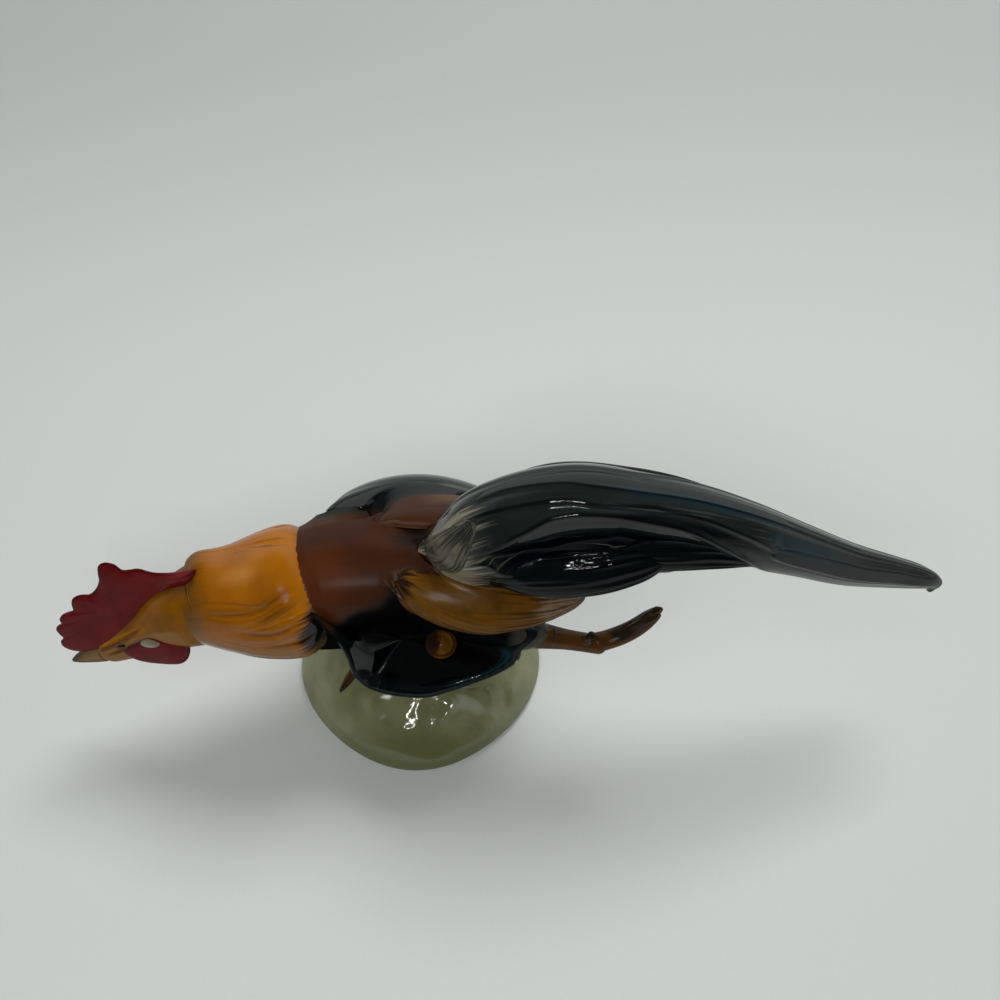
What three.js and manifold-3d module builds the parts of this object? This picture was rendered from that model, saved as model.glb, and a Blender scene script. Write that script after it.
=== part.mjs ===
// A porcelain rooster figurine in a low running pose: head down and forward, near wing dropped, tail
// streaming behind, standing on one leg on a celadon mound. Millimetres, +Z up, head towards -X, its left
// side towards -Y. The origin is the middle of the mound's flat underside.
//
// Such a figurine is cast in separate moulds and luted together before firing. Each cast form is a mesh,
// and every joint between two forms keeps the same thin seam.

import * as THREE from 'three'
import { mergeVertices } from 'three/addons/utils/BufferGeometryUtils.js'
import Module from 'manifold-3d'

const wasm = await Module()
wasm.setup()

// Seam left between two forms that are luted together
const SEAM = 0.3
// Facets of a cut form are merged where that moves its face by less than this
const FACET_TOLERANCE = 0.05

// Mound
const MOUND_RADIUS = 37
const MOUND_HEIGHT = 21
const MOUND_EDGE = 5.5
const MOUND_CORNER = 0.5
const MOUND_STRETCH = 1.8
const MOUND_BEVEL = 1.7
const LEAF_RELIEF = 1.1
const VENT_DIAMETER = 4
const VENT_DEPTH = 9
const VENT_OFFSET = 15

// Trunk, measured over the body before the wings and hackles are laid on
const BODY_LENGTH = 88
const BODY_WIDTH = 39
const BODY_DEPTH = 41
const BODY_AXIS_HEIGHT = 57
const BODY_MIDDLE_X = -2
const FLANK_HOLLOW = 8

// Neck and head
const NECK_LENGTH = 44
const NECK_WIDTH = 37.5
const NECK_DEPTH = 36.5
const HEAD_LENGTH = 36
const HEAD_WIDTH = 24.6
const HEAD_DEPTH = 26
const HEAD_DROP = 19
const HEAD_ROLL = 14
const BEAK_LENGTH = 12
const BEAK_WIDTH = 6.2
const BEAK_DEPTH = 7.2
const COMB_HEIGHT = 17.5
const COMB_THICKNESS = 3
const COMB_ROOT = 2.5
const WATTLE_LENGTH = 20
const WATTLE_DEPTH = 12
const WATTLE_THICKNESS = 4
const EARLOBE_DEPTH = 3.6
const EARLOBE_THICKNESS = 2.6

// Wings
const WING_LENGTH = 62
const LEFT_WING_WIDTH = 30
const LEFT_WING_THICKNESS = 2.4
const LEFT_WING_DISH = 6.5
const RIGHT_WING_WIDTH = 25
const RIGHT_WING_DEPTH = 17
const WING_BOSS_DIAMETER = 9
const WING_BOSS_HEIGHT = 5

// Saddle hackles
const SADDLE_LENGTH = 52
const SADDLE_WIDTH = 16
const SADDLE_DEPTH = 9

// Tail
const TAIL_LENGTH = 145
const TAIL_RISE = 13
const TAIL_FALL = 21
const TAIL_WIDTH = 26
const TAIL_DEPTH = 32
const TAIL_HOLLOW = 5.8
const COVERT_LENGTH = 48
const COVERT_WIDTH = 12
const SICKLE_LENGTH = 42
const SICKLE_WIDTH = 9
const UPPER_SICKLE_LENGTH = 66
const UPPER_SICKLE_WIDTH = 14
const UPPER_SICKLE_THICKNESS = 6
const FEATHER_THICKNESS = 5
const TUFT_WIDTH = 11

// Legs
const THIGH_WIDTH = 15
const STANDING_THIGH_LENGTH = 16
const SHANK_DIAMETER = 5.6
const TRAILING_THIGH_LENGTH = 38
const TRAILING_SHANK_LENGTH = 20
const TRAILING_SHANK_DROP = 21.5
const SPUR_LENGTH = 6.5
const SPUR_DIAMETER = 2.6
const TOE_LENGTH = 20
const TOE_DIAMETER = 4.4
const FOOT_X = -8
const FOOT_Y = 3

const degrees = Math.PI / 180
const X = new THREE.Vector3(1, 0, 0)
const Y = new THREE.Vector3(0, 1, 0)
const Z = new THREE.Vector3(0, 0, 1)

// Glazes
const GLAZE = {
  celadon: { color: '#8d9279', roughness: 0.2 },
  chestnut: { color: '#4a2a18', roughness: 0.14 },
  amber: { color: '#b8750f', roughness: 0.16 },
  ochre: { color: '#a8741c', roughness: 0.18 },
  crimson: { color: '#7a1824', roughness: 0.22 },
  raven: { color: '#10181a', roughness: 0.1 },
  straw: { color: '#a8a28c', roughness: 0.3 },
  slate: { color: '#4c4e4a', roughness: 0.22 },
  tan: { color: '#9a5a1c', roughness: 0.2 },
  ivory: { color: '#b9b7a0', roughness: 0.22 },
}

// A closed skin over a grid: rings of points between two poles, turned so that its faces point outwards
function closedSkin(pointAt, alongSteps, roundSteps) {
  const positions = []
  const faces = []
  for (let i = 0; i <= alongSteps; i++) {
    const t = (1 - Math.cos((Math.PI * i) / alongSteps)) / 2
    const ringSteps = i === 0 || i === alongSteps ? 1 : roundSteps
    for (let j = 0; j < ringSteps; j++) {
      positions.push(...pointAt(t, (2 * Math.PI * j) / roundSteps).toArray())
    }
  }
  const ring = (i, j) => 1 + (i - 1) * roundSteps + (j % roundSteps)
  const last = positions.length / 3 - 1
  for (let j = 0; j < roundSteps; j++) {
    faces.push(0, ring(1, j + 1), ring(1, j))
    for (let i = 1; i < alongSteps - 1; i++) {
      faces.push(ring(i, j), ring(i, j + 1), ring(i + 1, j + 1))
      faces.push(ring(i, j), ring(i + 1, j + 1), ring(i + 1, j))
    }
    faces.push(ring(alongSteps - 1, j), ring(alongSteps - 1, j + 1), last)
  }
  const geometry = new THREE.BufferGeometry()
  geometry.setAttribute('position', new THREE.Float32BufferAttribute(positions, 3))
  geometry.setIndex(enclosedVolume(positions, faces) > 0 ? faces : faces.reverse())
  return geometry
}

function enclosedVolume(positions, faces) {
  const corner = (k) => new THREE.Vector3().fromArray(positions, 3 * faces[k])
  let volume = 0
  for (let k = 0; k < faces.length; k += 3) {
    volume += corner(k).dot(corner(k + 1).cross(corner(k + 2))) / 6
  }
  return volume
}

// A cast form: a section carried along a spine. Its stations are rows of
// [along, aside, up, wide, deep, turn], the first five as shares of the form's own length, sway, lift,
// width and depth, the turn in degrees.
// A form that follows the face of another is given the points of its path instead of a root and a length.
function castForm({
  path,
  root,
  length = 0,
  sway = length,
  lift = length,
  width,
  depth = width,
  along = X,
  aside = Y,
  up = Z,
  stations,
  blunt = [0.12, 0.12],
  outline = ellipse,
}) {
  const place = ([a, b, c]) => {
    const ahead = root.clone().addScaledVector(along, a * length)
    return ahead.addScaledVector(aside, b * sway).addScaledVector(up, c * lift)
  }
  const spine = new THREE.CatmullRomCurve3(path ?? stations.map(place), false, 'catmullrom')
  const girth = new THREE.CatmullRomCurve3(
    stations.map(([, , , wide, deep, turn = 0]) => {
      return new THREE.Vector3((wide * width) / 2, (deep * depth) / 2, turn)
    }),
    false,
    'catmullrom',
  )
  const [bluntStart, bluntEnd] = blunt
  const rounding = (t) => roundedEnd(t / bluntStart) * roundedEnd((1 - t) / bluntEnd)

  function pointAt(t, angle, grow = 0) {
    const tangent = spine.getTangent(t)
    const sideways = aside.clone().addScaledVector(tangent, -aside.dot(tangent)).normalize()
    const upright = new THREE.Vector3().crossVectors(tangent, sideways)
    if (upright.dot(up) < 0) upright.negate()
    const half = girth.getPoint(t)
    const turn = half.z * degrees
    const across = sideways.clone().multiplyScalar(Math.cos(turn)).addScaledVector(upright, Math.sin(turn))
    const above = upright.clone().multiplyScalar(Math.cos(turn)).addScaledVector(sideways, -Math.sin(turn))
    const scale = rounding(t)
    const [acrossMm, aboveMm] = outline(angle, half.x * scale, half.y * scale, t)
    const point = spine.getPoint(t)
    if (t === 0 || t === 1) {
      return point.addScaledVector(tangent, t === 0 ? -grow : grow)
    }
    point.addScaledVector(across, acrossMm + grow * Math.cos(angle))
    return point.addScaledVector(above, aboveMm + grow * Math.sin(angle))
  }
  return { pointAt, spine }
}

// Quarter-circle run-up of a blunt end, from 0 at the pole to 1 where the form has its full girth
function roundedEnd(share) {
  return share < 1 ? Math.sqrt(1 - (1 - share) ** 2) : 1
}

function ellipse(angle, halfWide, halfDeep) {
  return [halfWide * Math.cos(angle), halfDeep * Math.sin(angle)]
}

// An ellipse with rows of soft grooves running lengthwise, as modelled feathers have
function fluted(count, grooveDepth) {
  return (angle, halfWide, halfDeep, t) => {
    const fade = Math.sin(Math.PI * Math.min(1, Math.max(0, t)))
    const cut = grooveDepth * fade * (1 - Math.abs(Math.cos((count * angle) / 2)))
    const [wide, deep] = ellipse(angle, halfWide, halfDeep)
    return [wide - cut * Math.cos(angle), deep - cut * Math.sin(angle)]
  }
}

// Soft step from 0 at low to 1 at high
function ramp(x, low, high) {
  const share = Math.min(1, Math.max(0, (x - low) / (high - low)))
  return share * share * (3 - 2 * share)
}

// A line drawn along a form, from rows of [t, angle in degrees], read at t
function course(rows, t) {
  const next = Math.max(1, rows.findIndex(([place]) => place >= t))
  const [[before, from], [after, to]] = [rows[next - 1], rows[next]]
  return from + ((to - from) * (t - before)) / (after - before)
}

// A plume section with a long hollow in its left flank, between two borders, that fades in over the first
// fifth of its run and out over the last
function hollowBetween(top, foot, hollowDepth, from, to) {
  return (angle, halfWide, halfDeep, t) => {
    const upper = course(top, t)
    const lower = course(foot, t)
    const across = (2 * angle) / degrees - upper - lower
    const share = Math.min(1, Math.abs(across / (lower - upper)))
    const fade = 0.23 * (to - from)
    const run = ramp(t, from, from + fade) * (1 - ramp(t, to - fade, to))
    const cut = hollowDepth * run * Math.max(0, Math.cos((Math.PI / 2) * share)) ** 1.4
    const [wide, deep] = ellipse(angle, halfWide, halfDeep)
    return [wide - cut * Math.cos(angle), deep - cut * Math.sin(angle)]
  }
}

// The trunk is drawn in on its left flank, behind the dropped wing
function hollowFlank(angle, halfWide, halfDeep, t) {
  const around = (angle / degrees - 180) / 42
  const cut = FLANK_HOLLOW * Math.exp(-(((t - 0.56) / 0.3) ** 2) - around ** 2)
  const [wide, deep] = ellipse(angle, halfWide, halfDeep)
  return [wide - cut * Math.cos(angle), deep - cut * Math.sin(angle)]
}

// Solids for the joints between forms
function solidOf(geometry) {
  const bare = geometry.clone()
  bare.deleteAttribute('normal')
  bare.deleteAttribute('uv')
  const merged = mergeVertices(bare, 1e-4)
  return new wasm.Manifold(
    new wasm.Mesh({
      numProp: 3,
      vertProperties: new Float32Array(merged.attributes.position.array),
      triVerts: new Uint32Array(merged.index.array),
    }),
  )
}

function geometryOf(solid) {
  const { vertProperties, triVerts } = solid.getMesh()
  const geometry = new THREE.BufferGeometry()
  geometry.setAttribute('position', new THREE.BufferAttribute(vertProperties, 3))
  geometry.setIndex(new THREE.BufferAttribute(triVerts, 1))
  return geometry
}

const figurine = new THREE.Group()
const laid = []

// Adds a form to the figurine. It is cut back by the seam wherever it meets a form that is already laid.
function lay(name, glaze, solid, grown) {
  let cut = solid
  for (const other of laid) {
    if (boxesMeet(cut.boundingBox(), other.boundingBox())) cut = cut.subtract(other)
  }
  const { color, roughness } = GLAZE[glaze]
  const mesh = new THREE.Mesh(
    geometryOf(largestPiece(largestPiece(cut).simplify(FACET_TOLERANCE))),
    new THREE.MeshStandardMaterial({ color, roughness, metalness: 0 }),
  )
  mesh.name = name
  figurine.add(mesh)
  laid.push(grown)
}

// A cut can leave crumbs of a form beyond another one. They are dropped.
function largestPiece(solid) {
  return solid.decompose().reduce((a, b) => (b.volume() > a.volume() ? b : a))
}

function boxesMeet(a, b) {
  return [0, 1, 2].every((axis) => a.min[axis] <= b.max[axis] && b.min[axis] <= a.max[axis])
}

// A form with an open dish also gives the same form filled, which keeps its neighbours out of the hollow
function layForm(name, glaze, form, alongSteps, roundSteps, filled = form) {
  const skin = (of, grow) => closedSkin((t, angle) => of.pointAt(t, angle, grow), alongSteps, roundSteps)
  lay(name, glaze, solidOf(skin(form, 0)), solidOf(skin(filled, SEAM)))
}

// A point of the trunk, given as shares of its half length, half width and half depth
function onTrunk(along, aside, up) {
  return new THREE.Vector3(
    BODY_MIDDLE_X + (along * BODY_LENGTH) / 2,
    (aside * BODY_WIDTH) / 2,
    BODY_AXIS_HEIGHT + (up * BODY_DEPTH) / 2,
  )
}

// The mound: a low three-cornered dome with a round edge and a flat unglazed underside
function moundRadius(angle) {
  const corners = MOUND_CORNER * (Math.cos(3 * angle + 270 * degrees) + Math.cos(4 * angle))
  return MOUND_RADIUS + corners + MOUND_STRETCH * Math.cos(2 * angle)
}

// Pressed leaves and stones on the mound, as rows of [along, aside, reach, rise], the first three in shares
// of its radius and the rise in shares of the relief. The dips between them have a rise below 0.
const LEAVES = [
  [0.34, -0.55, 0.13, 0.9],
  [0.61, -0.4, 0.12, 0.9],
  [0.68, -0.62, 0.13, 0.7],
  [0.44, -0.78, 0.14, 0.5],
  [0.86, -0.3, 0.11, 0.6],
  [0.9, 0.02, 0.14, 0.6],
  [0.5, -0.5, 0.09, -0.7],
  [0.76, -0.47, 0.08, -0.7],
  [-0.36, -0.5, 0.12, 0.8],
  [-0.26, -0.6, 0.07, -0.5],
  [-0.62, -0.3, 0.16, 0.5],
  [-0.8, 0.1, 0.15, 0.6],
  [-0.5, 0.3, 0.14, 0.8],
  [-0.62, 0.58, 0.14, 0.7],
  [-0.2, 0.62, 0.16, 0.9],
  [-0.14, 0.88, 0.12, 0.6],
  [0.16, 0.7, 0.13, 0.8],
  [0.45, 0.5, 0.15, 0.9],
  [0.5, 0.76, 0.13, 0.6],
  [0.72, 0.3, 0.14, 0.8],
]

function moundTop(share, angle) {
  const dome = (MOUND_HEIGHT - MOUND_EDGE / 2) * Math.max(0, 1 - share ** 2) ** 0.72
  const x = share * Math.cos(angle)
  const y = share * Math.sin(angle)
  const leaf = ([along, aside, reach, rise]) => rise * Math.exp(-(((x - along) ** 2 + (y - aside) ** 2) / reach ** 2))
  const relief = LEAVES.reduce((sum, row) => sum + leaf(row), 0)
  return MOUND_EDGE / 2 + dome + LEAF_RELIEF * relief * (1 - share ** 8)
}

const moundFlat = 1 - MOUND_BEVEL / MOUND_RADIUS

function moundPoint(t, angle, grow) {
  const radius = moundRadius(angle)
  const underEnd = 0.3
  const edgeEnd = 0.42
  let share
  let height
  if (t <= underEnd) {
    share = (t / underEnd) * moundFlat
    height = -grow
  } else if (t < edgeEnd) {
    const bend = (((t - underEnd) / (edgeEnd - underEnd)) * Math.PI) / 2
    share = moundFlat + (1 - moundFlat) * Math.sin(bend)
    height = (MOUND_EDGE / 2) * (1 - Math.cos(bend))
  } else {
    share = Math.cos((((t - edgeEnd) / (1 - edgeEnd)) * Math.PI) / 2)
    height = moundTop(share, angle) + grow
  }
  const reach = radius * share + grow * Math.min(1, 4 * share)
  return new THREE.Vector3(reach * Math.cos(angle), reach * Math.sin(angle), height)
}

function moundHeightAt(x, y) {
  const angle = Math.atan2(y, x)
  return moundTop(Math.min(moundFlat, Math.hypot(x, y) / moundRadius(angle)), angle)
}

// Tail, from the root tuft to the drooping tip. The borders of the hollow in its left flank are rows of
// [share of the tail's length, degrees round its section].
const tailRoot = onTrunk(0.18, 0, 1.1)
const HOLLOW_TOP = [
  [0, 150],
  [0.134, 148],
  [0.217, 136],
  [0.257, 126],
  [0.3, 124],
  [0.376, 127],
  [0.454, 139],
  [0.539, 172],
  [0.6, 208],
  [1, 225],
]
const HOLLOW_FOOT = [
  [0, 160],
  [0.16, 180],
  [0.25, 222],
  [0.33, 208],
  [0.426, 226],
  [0.6, 240],
  [1, 240],
]
const tailPlume = castForm({
  root: tailRoot,
  length: TAIL_LENGTH,
  sway: TAIL_WIDTH,
  lift: TAIL_RISE,
  width: TAIL_WIDTH,
  depth: TAIL_DEPTH,
  blunt: [0.05, 0.02],
  outline: hollowBetween(HOLLOW_TOP, HOLLOW_FOOT, TAIL_HOLLOW, 0.1, 0.62),
  stations: [
    [0, 0, -0.1, 0.3, 0.3],
    [0.075, 0.04, 0.05, 0.8, 0.76],
    [0.17, 0.06, 0.5, 0.98, 1.06],
    [0.27, 0.08, 0.9, 1, 1],
    [0.375, 0.06, 0.86, 0.92, 0.9],
    [0.475, 0.04, 0.78, 0.78, 0.73],
    [0.58, 0, 0.5, 0.62, 0.6],
    [0.685, -0.02, -0.03, 0.5, 0.5],
    [0.79, -0.02, -0.65, 0.4, 0.44],
    [0.89, 0, -1.1, 0.28, 0.36],
    [0.96, 0, -1.35, 0.2, 0.24],
    [1, 0, -TAIL_FALL / TAIL_RISE, 0.1, 0.1],
  ],
})

// A point over the tail's root, given as shares of the tail's length, width and rise
function onTail(along, aside, up) {
  return tailRoot.clone().add(new THREE.Vector3(along * TAIL_LENGTH, aside * TAIL_WIDTH, up * TAIL_RISE))
}

const featherLeaf = (spec) => castForm({ blunt: [0.06, 0.08], outline: fluted(6, 0.5), ...spec })

// The pale tuft follows the upper left edge of the plume's root
const tuft = featherLeaf({
  path: [0.012, 0.05, 0.1, 0.15].map((t) => tailPlume.pointAt(t, (150 - 260 * t) * degrees, -0.8)),
  width: TUFT_WIDTH,
  depth: FEATHER_THICKNESS,
  blunt: [0.2, 0.08],
  stations: [
    [0, 0, 0, 0.7, 0.8, 62],
    [0, 0, 0, 1, 1, 55],
    [0, 0, 0, 0.8, 0.9, 45],
    [0, 0, 0, 0.3, 0.5, 35],
  ],
})

function tailCovert(side) {
  return featherLeaf({
    root: onTail(0.11, side * 0.3, 0),
    length: COVERT_LENGTH,
    sway: side * TAIL_WIDTH,
    lift: TAIL_RISE,
    width: COVERT_WIDTH,
    depth: FEATHER_THICKNESS,
    stations: [
      [0, 0, 0, 0.3, 0.5, side * -58],
      [0.25, 0.08, 0.16, 0.85, 1, side * -58],
      [0.55, 0.11, 0.36, 1, 1, side * -55],
      [0.82, 0.04, 0.5, 0.8, 0.9, side * -52],
      [1, -0.03, 0.6, 0.3, 0.5, side * -50],
    ],
  })
}

function lesserSickle(side) {
  return featherLeaf({
    root: onTail(0.32, side * 0.2, 0.6),
    length: SICKLE_LENGTH,
    sway: side * TAIL_WIDTH,
    lift: TAIL_RISE,
    width: SICKLE_WIDTH,
    depth: FEATHER_THICKNESS,
    stations: [
      [0, 0, 0, 0.4, 0.5, side * -60],
      [0.35, 0.04, 0.02, 1, 1, side * -55],
      [0.7, 0.02, -0.12, 0.8, 0.8, side * -50],
      [1, 0, -0.5, 0.2, 0.3, side * -50],
    ],
  })
}

const upperSickle = featherLeaf({
  root: onTail(0.11, 0.3, 0.3),
  length: UPPER_SICKLE_LENGTH,
  sway: TAIL_WIDTH,
  lift: TAIL_RISE,
  width: UPPER_SICKLE_WIDTH,
  depth: UPPER_SICKLE_THICKNESS,
  stations: [
    [0, 0, 0, 0.4, 0.5, 60],
    [0.25, 0.08, 0.62, 1, 1, 50],
    [0.55, 0.08, 0.62, 1, 1, 48],
    [0.82, 0.04, 0.4, 0.8, 0.8, 50],
    [1, 0, 0.15, 0.3, 0.4, 55],
  ],
})

// Saddle hackles, which hang over the flanks under the tail. The right one lies higher and flatter.
function saddle(side) {
  return featherLeaf({
    root: side < 0 ? onTrunk(0, -0.33, 0.87) : onTrunk(-0.14, 0.55, 0.88),
    length: SADDLE_LENGTH,
    sway: side * SADDLE_WIDTH,
    lift: SADDLE_DEPTH,
    width: SADDLE_WIDTH,
    depth: SADDLE_DEPTH,
    outline: fluted(8, 0.5),
    stations: [
      [0, 0, 0, 0.2, 0.3, side * -25],
      [0.18, 0.19, -0.3, 0.85, 0.95, side * -32],
      [0.42, 0.34, -0.6, 1, 1, side * -38],
      [0.62, 0.3, -0.8, 0.85, 0.9, side * -36],
      [0.82, 0.14, -1.15, 0.55, 0.65, side * -30],
      [1, -0.06, -1.5, 0.18, 0.3, side * -25],
    ],
  })
}

// The dropped left wing is a dish with a raised rim. The rim's points are rows of [along, aside, up] from the
// shoulder, in shares of the wing's length and width: down the front, along the hanging edge, up the back
// and along the root, which is sunk in the trunk.
const shoulder = onTrunk(-0.55, -0.68, 0.55)
const LEFT_WING_RIM = [
  [0.027, -0.101, 0.178],
  [0.094, -0.171, 0.018],
  [0.139, -0.215, -0.183],
  [0.163, -0.255, -0.429],
  [0.176, -0.308, -0.663],
  [0.213, -0.375, -0.736],
  [0.265, -0.425, -0.799],
  [0.374, -0.508, -0.733],
  [0.515, -0.558, -0.649],
  [0.618, -0.525, -0.593],
  [0.719, -0.458, -0.573],
  [0.829, -0.375, -0.546],
  [0.916, -0.275, -0.513],
  [0.942, -0.191, -0.446],
  [0.953, 0.009, -0.249],
  [0.777, 0.092, 0.008],
  [0.487, 0.109, 0.141],
  [0.197, 0.175, 0.091],
]

function onLeftWing([along, aside, up]) {
  const offset = new THREE.Vector3(along * WING_LENGTH, aside * LEFT_WING_WIDTH, up * LEFT_WING_WIDTH)
  return offset.add(shoulder)
}

const leftWingRim = new THREE.CatmullRomCurve3(LEFT_WING_RIM.map(onLeftWing), true, 'catmullrom')
const leftWingFace = new THREE.Vector3(0.05, -0.8, 0.6).normalize()
const leftWingMiddle = LEFT_WING_RIM.reduce(
  (sum, row) => sum.addScaledVector(onLeftWing(row), 1 / LEFT_WING_RIM.length),
  new THREE.Vector3(),
)

// Rings grow from the middle of the dish out to the rim, and back behind it. dish is the hollow's depth on
// the front, and the back stays the same.
function leftWing(dish) {
  function pointAt(t, angle, grow = 0) {
    const share = Math.sin(Math.PI * t)
    const across = leftWingRim.getPoint(angle / (2 * Math.PI)).sub(leftWingMiddle)
    const bowl = 1 - share ** 2.6
    const back = LEFT_WING_THICKNESS * roundedEnd((1 - share) / 0.1) + 5 * (1 - share)
    const height = t < 0.5 ? grow - dish * bowl : -0.35 * LEFT_WING_DISH * bowl - back - grow
    const point = leftWingMiddle.clone().addScaledVector(across, share)
    point.addScaledVector(across.normalize(), grow * share)
    return point.addScaledVector(leftWingFace, height)
  }
  return { pointAt }
}

// The right wing is a rounded shell
const rightWing = castForm({
  root: onTrunk(-0.5, 0.84, 0.2),
  length: WING_LENGTH,
  sway: RIGHT_WING_WIDTH,
  lift: RIGHT_WING_DEPTH,
  width: RIGHT_WING_WIDTH,
  depth: RIGHT_WING_DEPTH,
  blunt: [0.1, 0.12],
  outline: fluted(10, 0.5),
  stations: [
    [0, 0.1, 0.05, 0.2, 0.3, -30],
    [0.14, 0.24, 0, 0.7, 0.75, -28],
    [0.34, 0.32, -0.03, 0.95, 1, -26],
    [0.56, 0.28, -0.05, 1, 1, -26],
    [0.78, 0.14, -0.12, 0.8, 0.8, -28],
    [1, -0.06, -0.25, 0.25, 0.35, -30],
  ],
})

// The small coiled boss of bronze feathers that stands in the dish of the left wing
const wingBoss = castForm({
  root: onLeftWing([0.581, -0.065, -0.536]),
  length: WING_BOSS_HEIGHT,
  width: WING_BOSS_DIAMETER,
  along: new THREE.Vector3(0, -0.5, 0.87).normalize(),
  aside: X,
  up: Y,
  blunt: [0.1, 0.7],
  stations: [
    [0, 0, 0, 0.9, 0.9],
    [0.5, 0, 0, 1, 0.95],
    [1, 0, 0, 0.8, 0.75],
  ],
})

// Neck hackle, whose cape of feathers lies over the shoulders
const neck = castForm({
  root: onTrunk(-0.36, -0.02, 0.2),
  length: NECK_LENGTH,
  sway: NECK_WIDTH,
  lift: NECK_DEPTH,
  width: NECK_WIDTH,
  depth: NECK_DEPTH,
  along: X.clone().negate(),
  blunt: [0.16, 0.08],
  outline: fluted(12, 0.6),
  stations: [
    [0, 0, 0, 0.92, 0.92],
    [0.27, -0.05, -0.03, 1, 1],
    [0.5, -0.09, -0.05, 0.94, 0.95],
    [0.7, -0.12, -0.05, 0.82, 0.84],
    [0.88, -0.14, -0.06, 0.71, 0.73],
    [1, -0.16, -0.07, 0.54, 0.56],
  ],
})

const neckEnd = neck.spine.getPoint(1)
const head = castForm({
  root: neckEnd.clone().add(new THREE.Vector3(0.22 * HEAD_LENGTH, 0.05 * HEAD_WIDTH, 0.06 * HEAD_DROP)),
  length: HEAD_LENGTH,
  sway: HEAD_WIDTH,
  lift: HEAD_DROP,
  width: HEAD_WIDTH,
  depth: HEAD_DEPTH,
  along: X.clone().negate(),
  blunt: [0.02, 0.12],
  stations: [
    [0, 0, 0, 1, 0.96, -HEAD_ROLL],
    [0.28, -0.1, -0.21, 0.8, 0.82, -HEAD_ROLL],
    [0.53, -0.19, -0.5, 0.51, 0.6, -HEAD_ROLL],
    [0.78, -0.27, -0.77, 0.37, 0.43, -HEAD_ROLL],
    [1, -0.33, -0.97, 0.26, 0.3, -HEAD_ROLL],
  ],
})

const headEnd = head.spine.getPoint(1)
const beak = castForm({
  root: headEnd.clone().add(new THREE.Vector3(0.2, 0.03, 0.08).multiplyScalar(BEAK_LENGTH)),
  length: BEAK_LENGTH,
  width: BEAK_WIDTH,
  depth: BEAK_DEPTH,
  along: X.clone().negate(),
  blunt: [0.1, 0.06],
  stations: [
    [0, 0, 0, 1, 1, -HEAD_ROLL],
    [0.4, -0.04, -0.13, 0.76, 0.8, -HEAD_ROLL],
    [0.75, -0.08, -0.28, 0.44, 0.5, -HEAD_ROLL],
    [1, -0.1, -0.42, 0.12, 0.14, -HEAD_ROLL],
  ],
})

function wattle(side) {
  const jaw = head.pointAt(0.6, (side < 0 ? 218 : 322) * degrees)
  return castForm({
    root: jaw.clone().addScaledVector(X, -0.33 * WATTLE_LENGTH).addScaledVector(Z, 0.5 * WATTLE_DEPTH),
    length: WATTLE_LENGTH,
    sway: WATTLE_THICKNESS,
    lift: WATTLE_DEPTH,
    width: WATTLE_THICKNESS,
    depth: WATTLE_DEPTH,
    blunt: [0.2, 0.3],
    stations: [
      [0, 0, -0.4, 0.5, 0.3, side * 20],
      [0.35, side * -0.1, -0.33, 0.9, 0.65, side * 20],
      [0.7, side * -0.4, -0.2, 1.1, 0.95, side * 20],
      [1, side * -0.7, 0.06, 0.85, 0.72, side * 20],
    ],
  })
}

// The earlobe lies along the cheek, its rear end lower
function earlobe(side) {
  const onCheek = (t, angle) => head.pointAt(t, (side < 0 ? angle : 180 - angle) * degrees)
  const rear = onCheek(0.37, 183)
  const along = onCheek(0.53, 169).sub(rear)
  return castForm({
    root: rear,
    length: along.length(),
    width: EARLOBE_THICKNESS,
    depth: EARLOBE_DEPTH,
    along: along.normalize(),
    blunt: [0.5, 0.5],
    stations: [
      [0, 0, 0, 1, 0.8],
      [0.5, 0, 0, 1, 1],
      [1, 0, 0, 1, 0.8],
    ],
  })
}

// The comb is a thin upright blade with rounded points along its top edge, rising to one tall point behind.
// Its lobes are rows of [along, high] from the nape to the beak, as shares of the crown's run and the
// comb's height.
const COMB_LOBES = [
  [-0.16, -0.04],
  [-0.06, 0.13],
  [0.04, 0.31],
  [0.1, 0.51],
  [0.19, 0.65],
  [0.195, 0.84],
  [0.23, 0.96],
  [0.29, 0.98],
  [0.345, 0.91],
  [0.41, 0.8],
  [0.5, 0.73],
  [0.59, 0.73],
  [0.65, 0.83],
  [0.71, 0.86],
  [0.765, 0.81],
  [0.82, 0.71],
  [0.92, 0.77],
  [0.98, 0.74],
  [1.01, 0.67],
  [1.06, 0.68],
  [1.1, 0.64],
  [1.14, 0.46],
  [1.19, 0.44],
  [1.225, 0.34],
  [1.21, 0.18],
  [1.14, 0.03],
]

function combSolid() {
  const nape = head.pointAt(0.1, 90 * degrees)
  const brow = head.pointAt(0.94, 90 * degrees)
  const run = nape.distanceTo(brow)
  const outline = new THREE.Shape()
  outline.moveTo(0, -COMB_ROOT)
  outline.lineTo(-0.1 * run, -0.6 * COMB_ROOT)
  outline.splineThru(COMB_LOBES.map(([a, h]) => new THREE.Vector2(a * run, h * COMB_HEIGHT)))
  outline.lineTo(run, -COMB_ROOT)
  outline.closePath()
  const geometry = new THREE.ExtrudeGeometry(outline, {
    depth: COMB_THICKNESS * 0.4,
    curveSegments: 2,
    bevelSize: COMB_THICKNESS * 0.25,
    bevelOffset: -COMB_THICKNESS * 0.25,
    bevelThickness: COMB_THICKNESS * 0.3,
    bevelSegments: 1,
  })
  geometry.translate(0, 0, -COMB_THICKNESS * 0.2)
  const along = brow.clone().sub(nape).normalize()
  const lean = head.pointAt(0.5, 90 * degrees).sub(head.spine.getPoint(0.5))
  const high = lean.addScaledVector(along, -lean.dot(along)).normalize()
  const through = new THREE.Vector3().crossVectors(along, high)
  geometry.applyMatrix4(new THREE.Matrix4().makeBasis(along, high, through).setPosition(nape))
  return solidOf(geometry)
}

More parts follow.
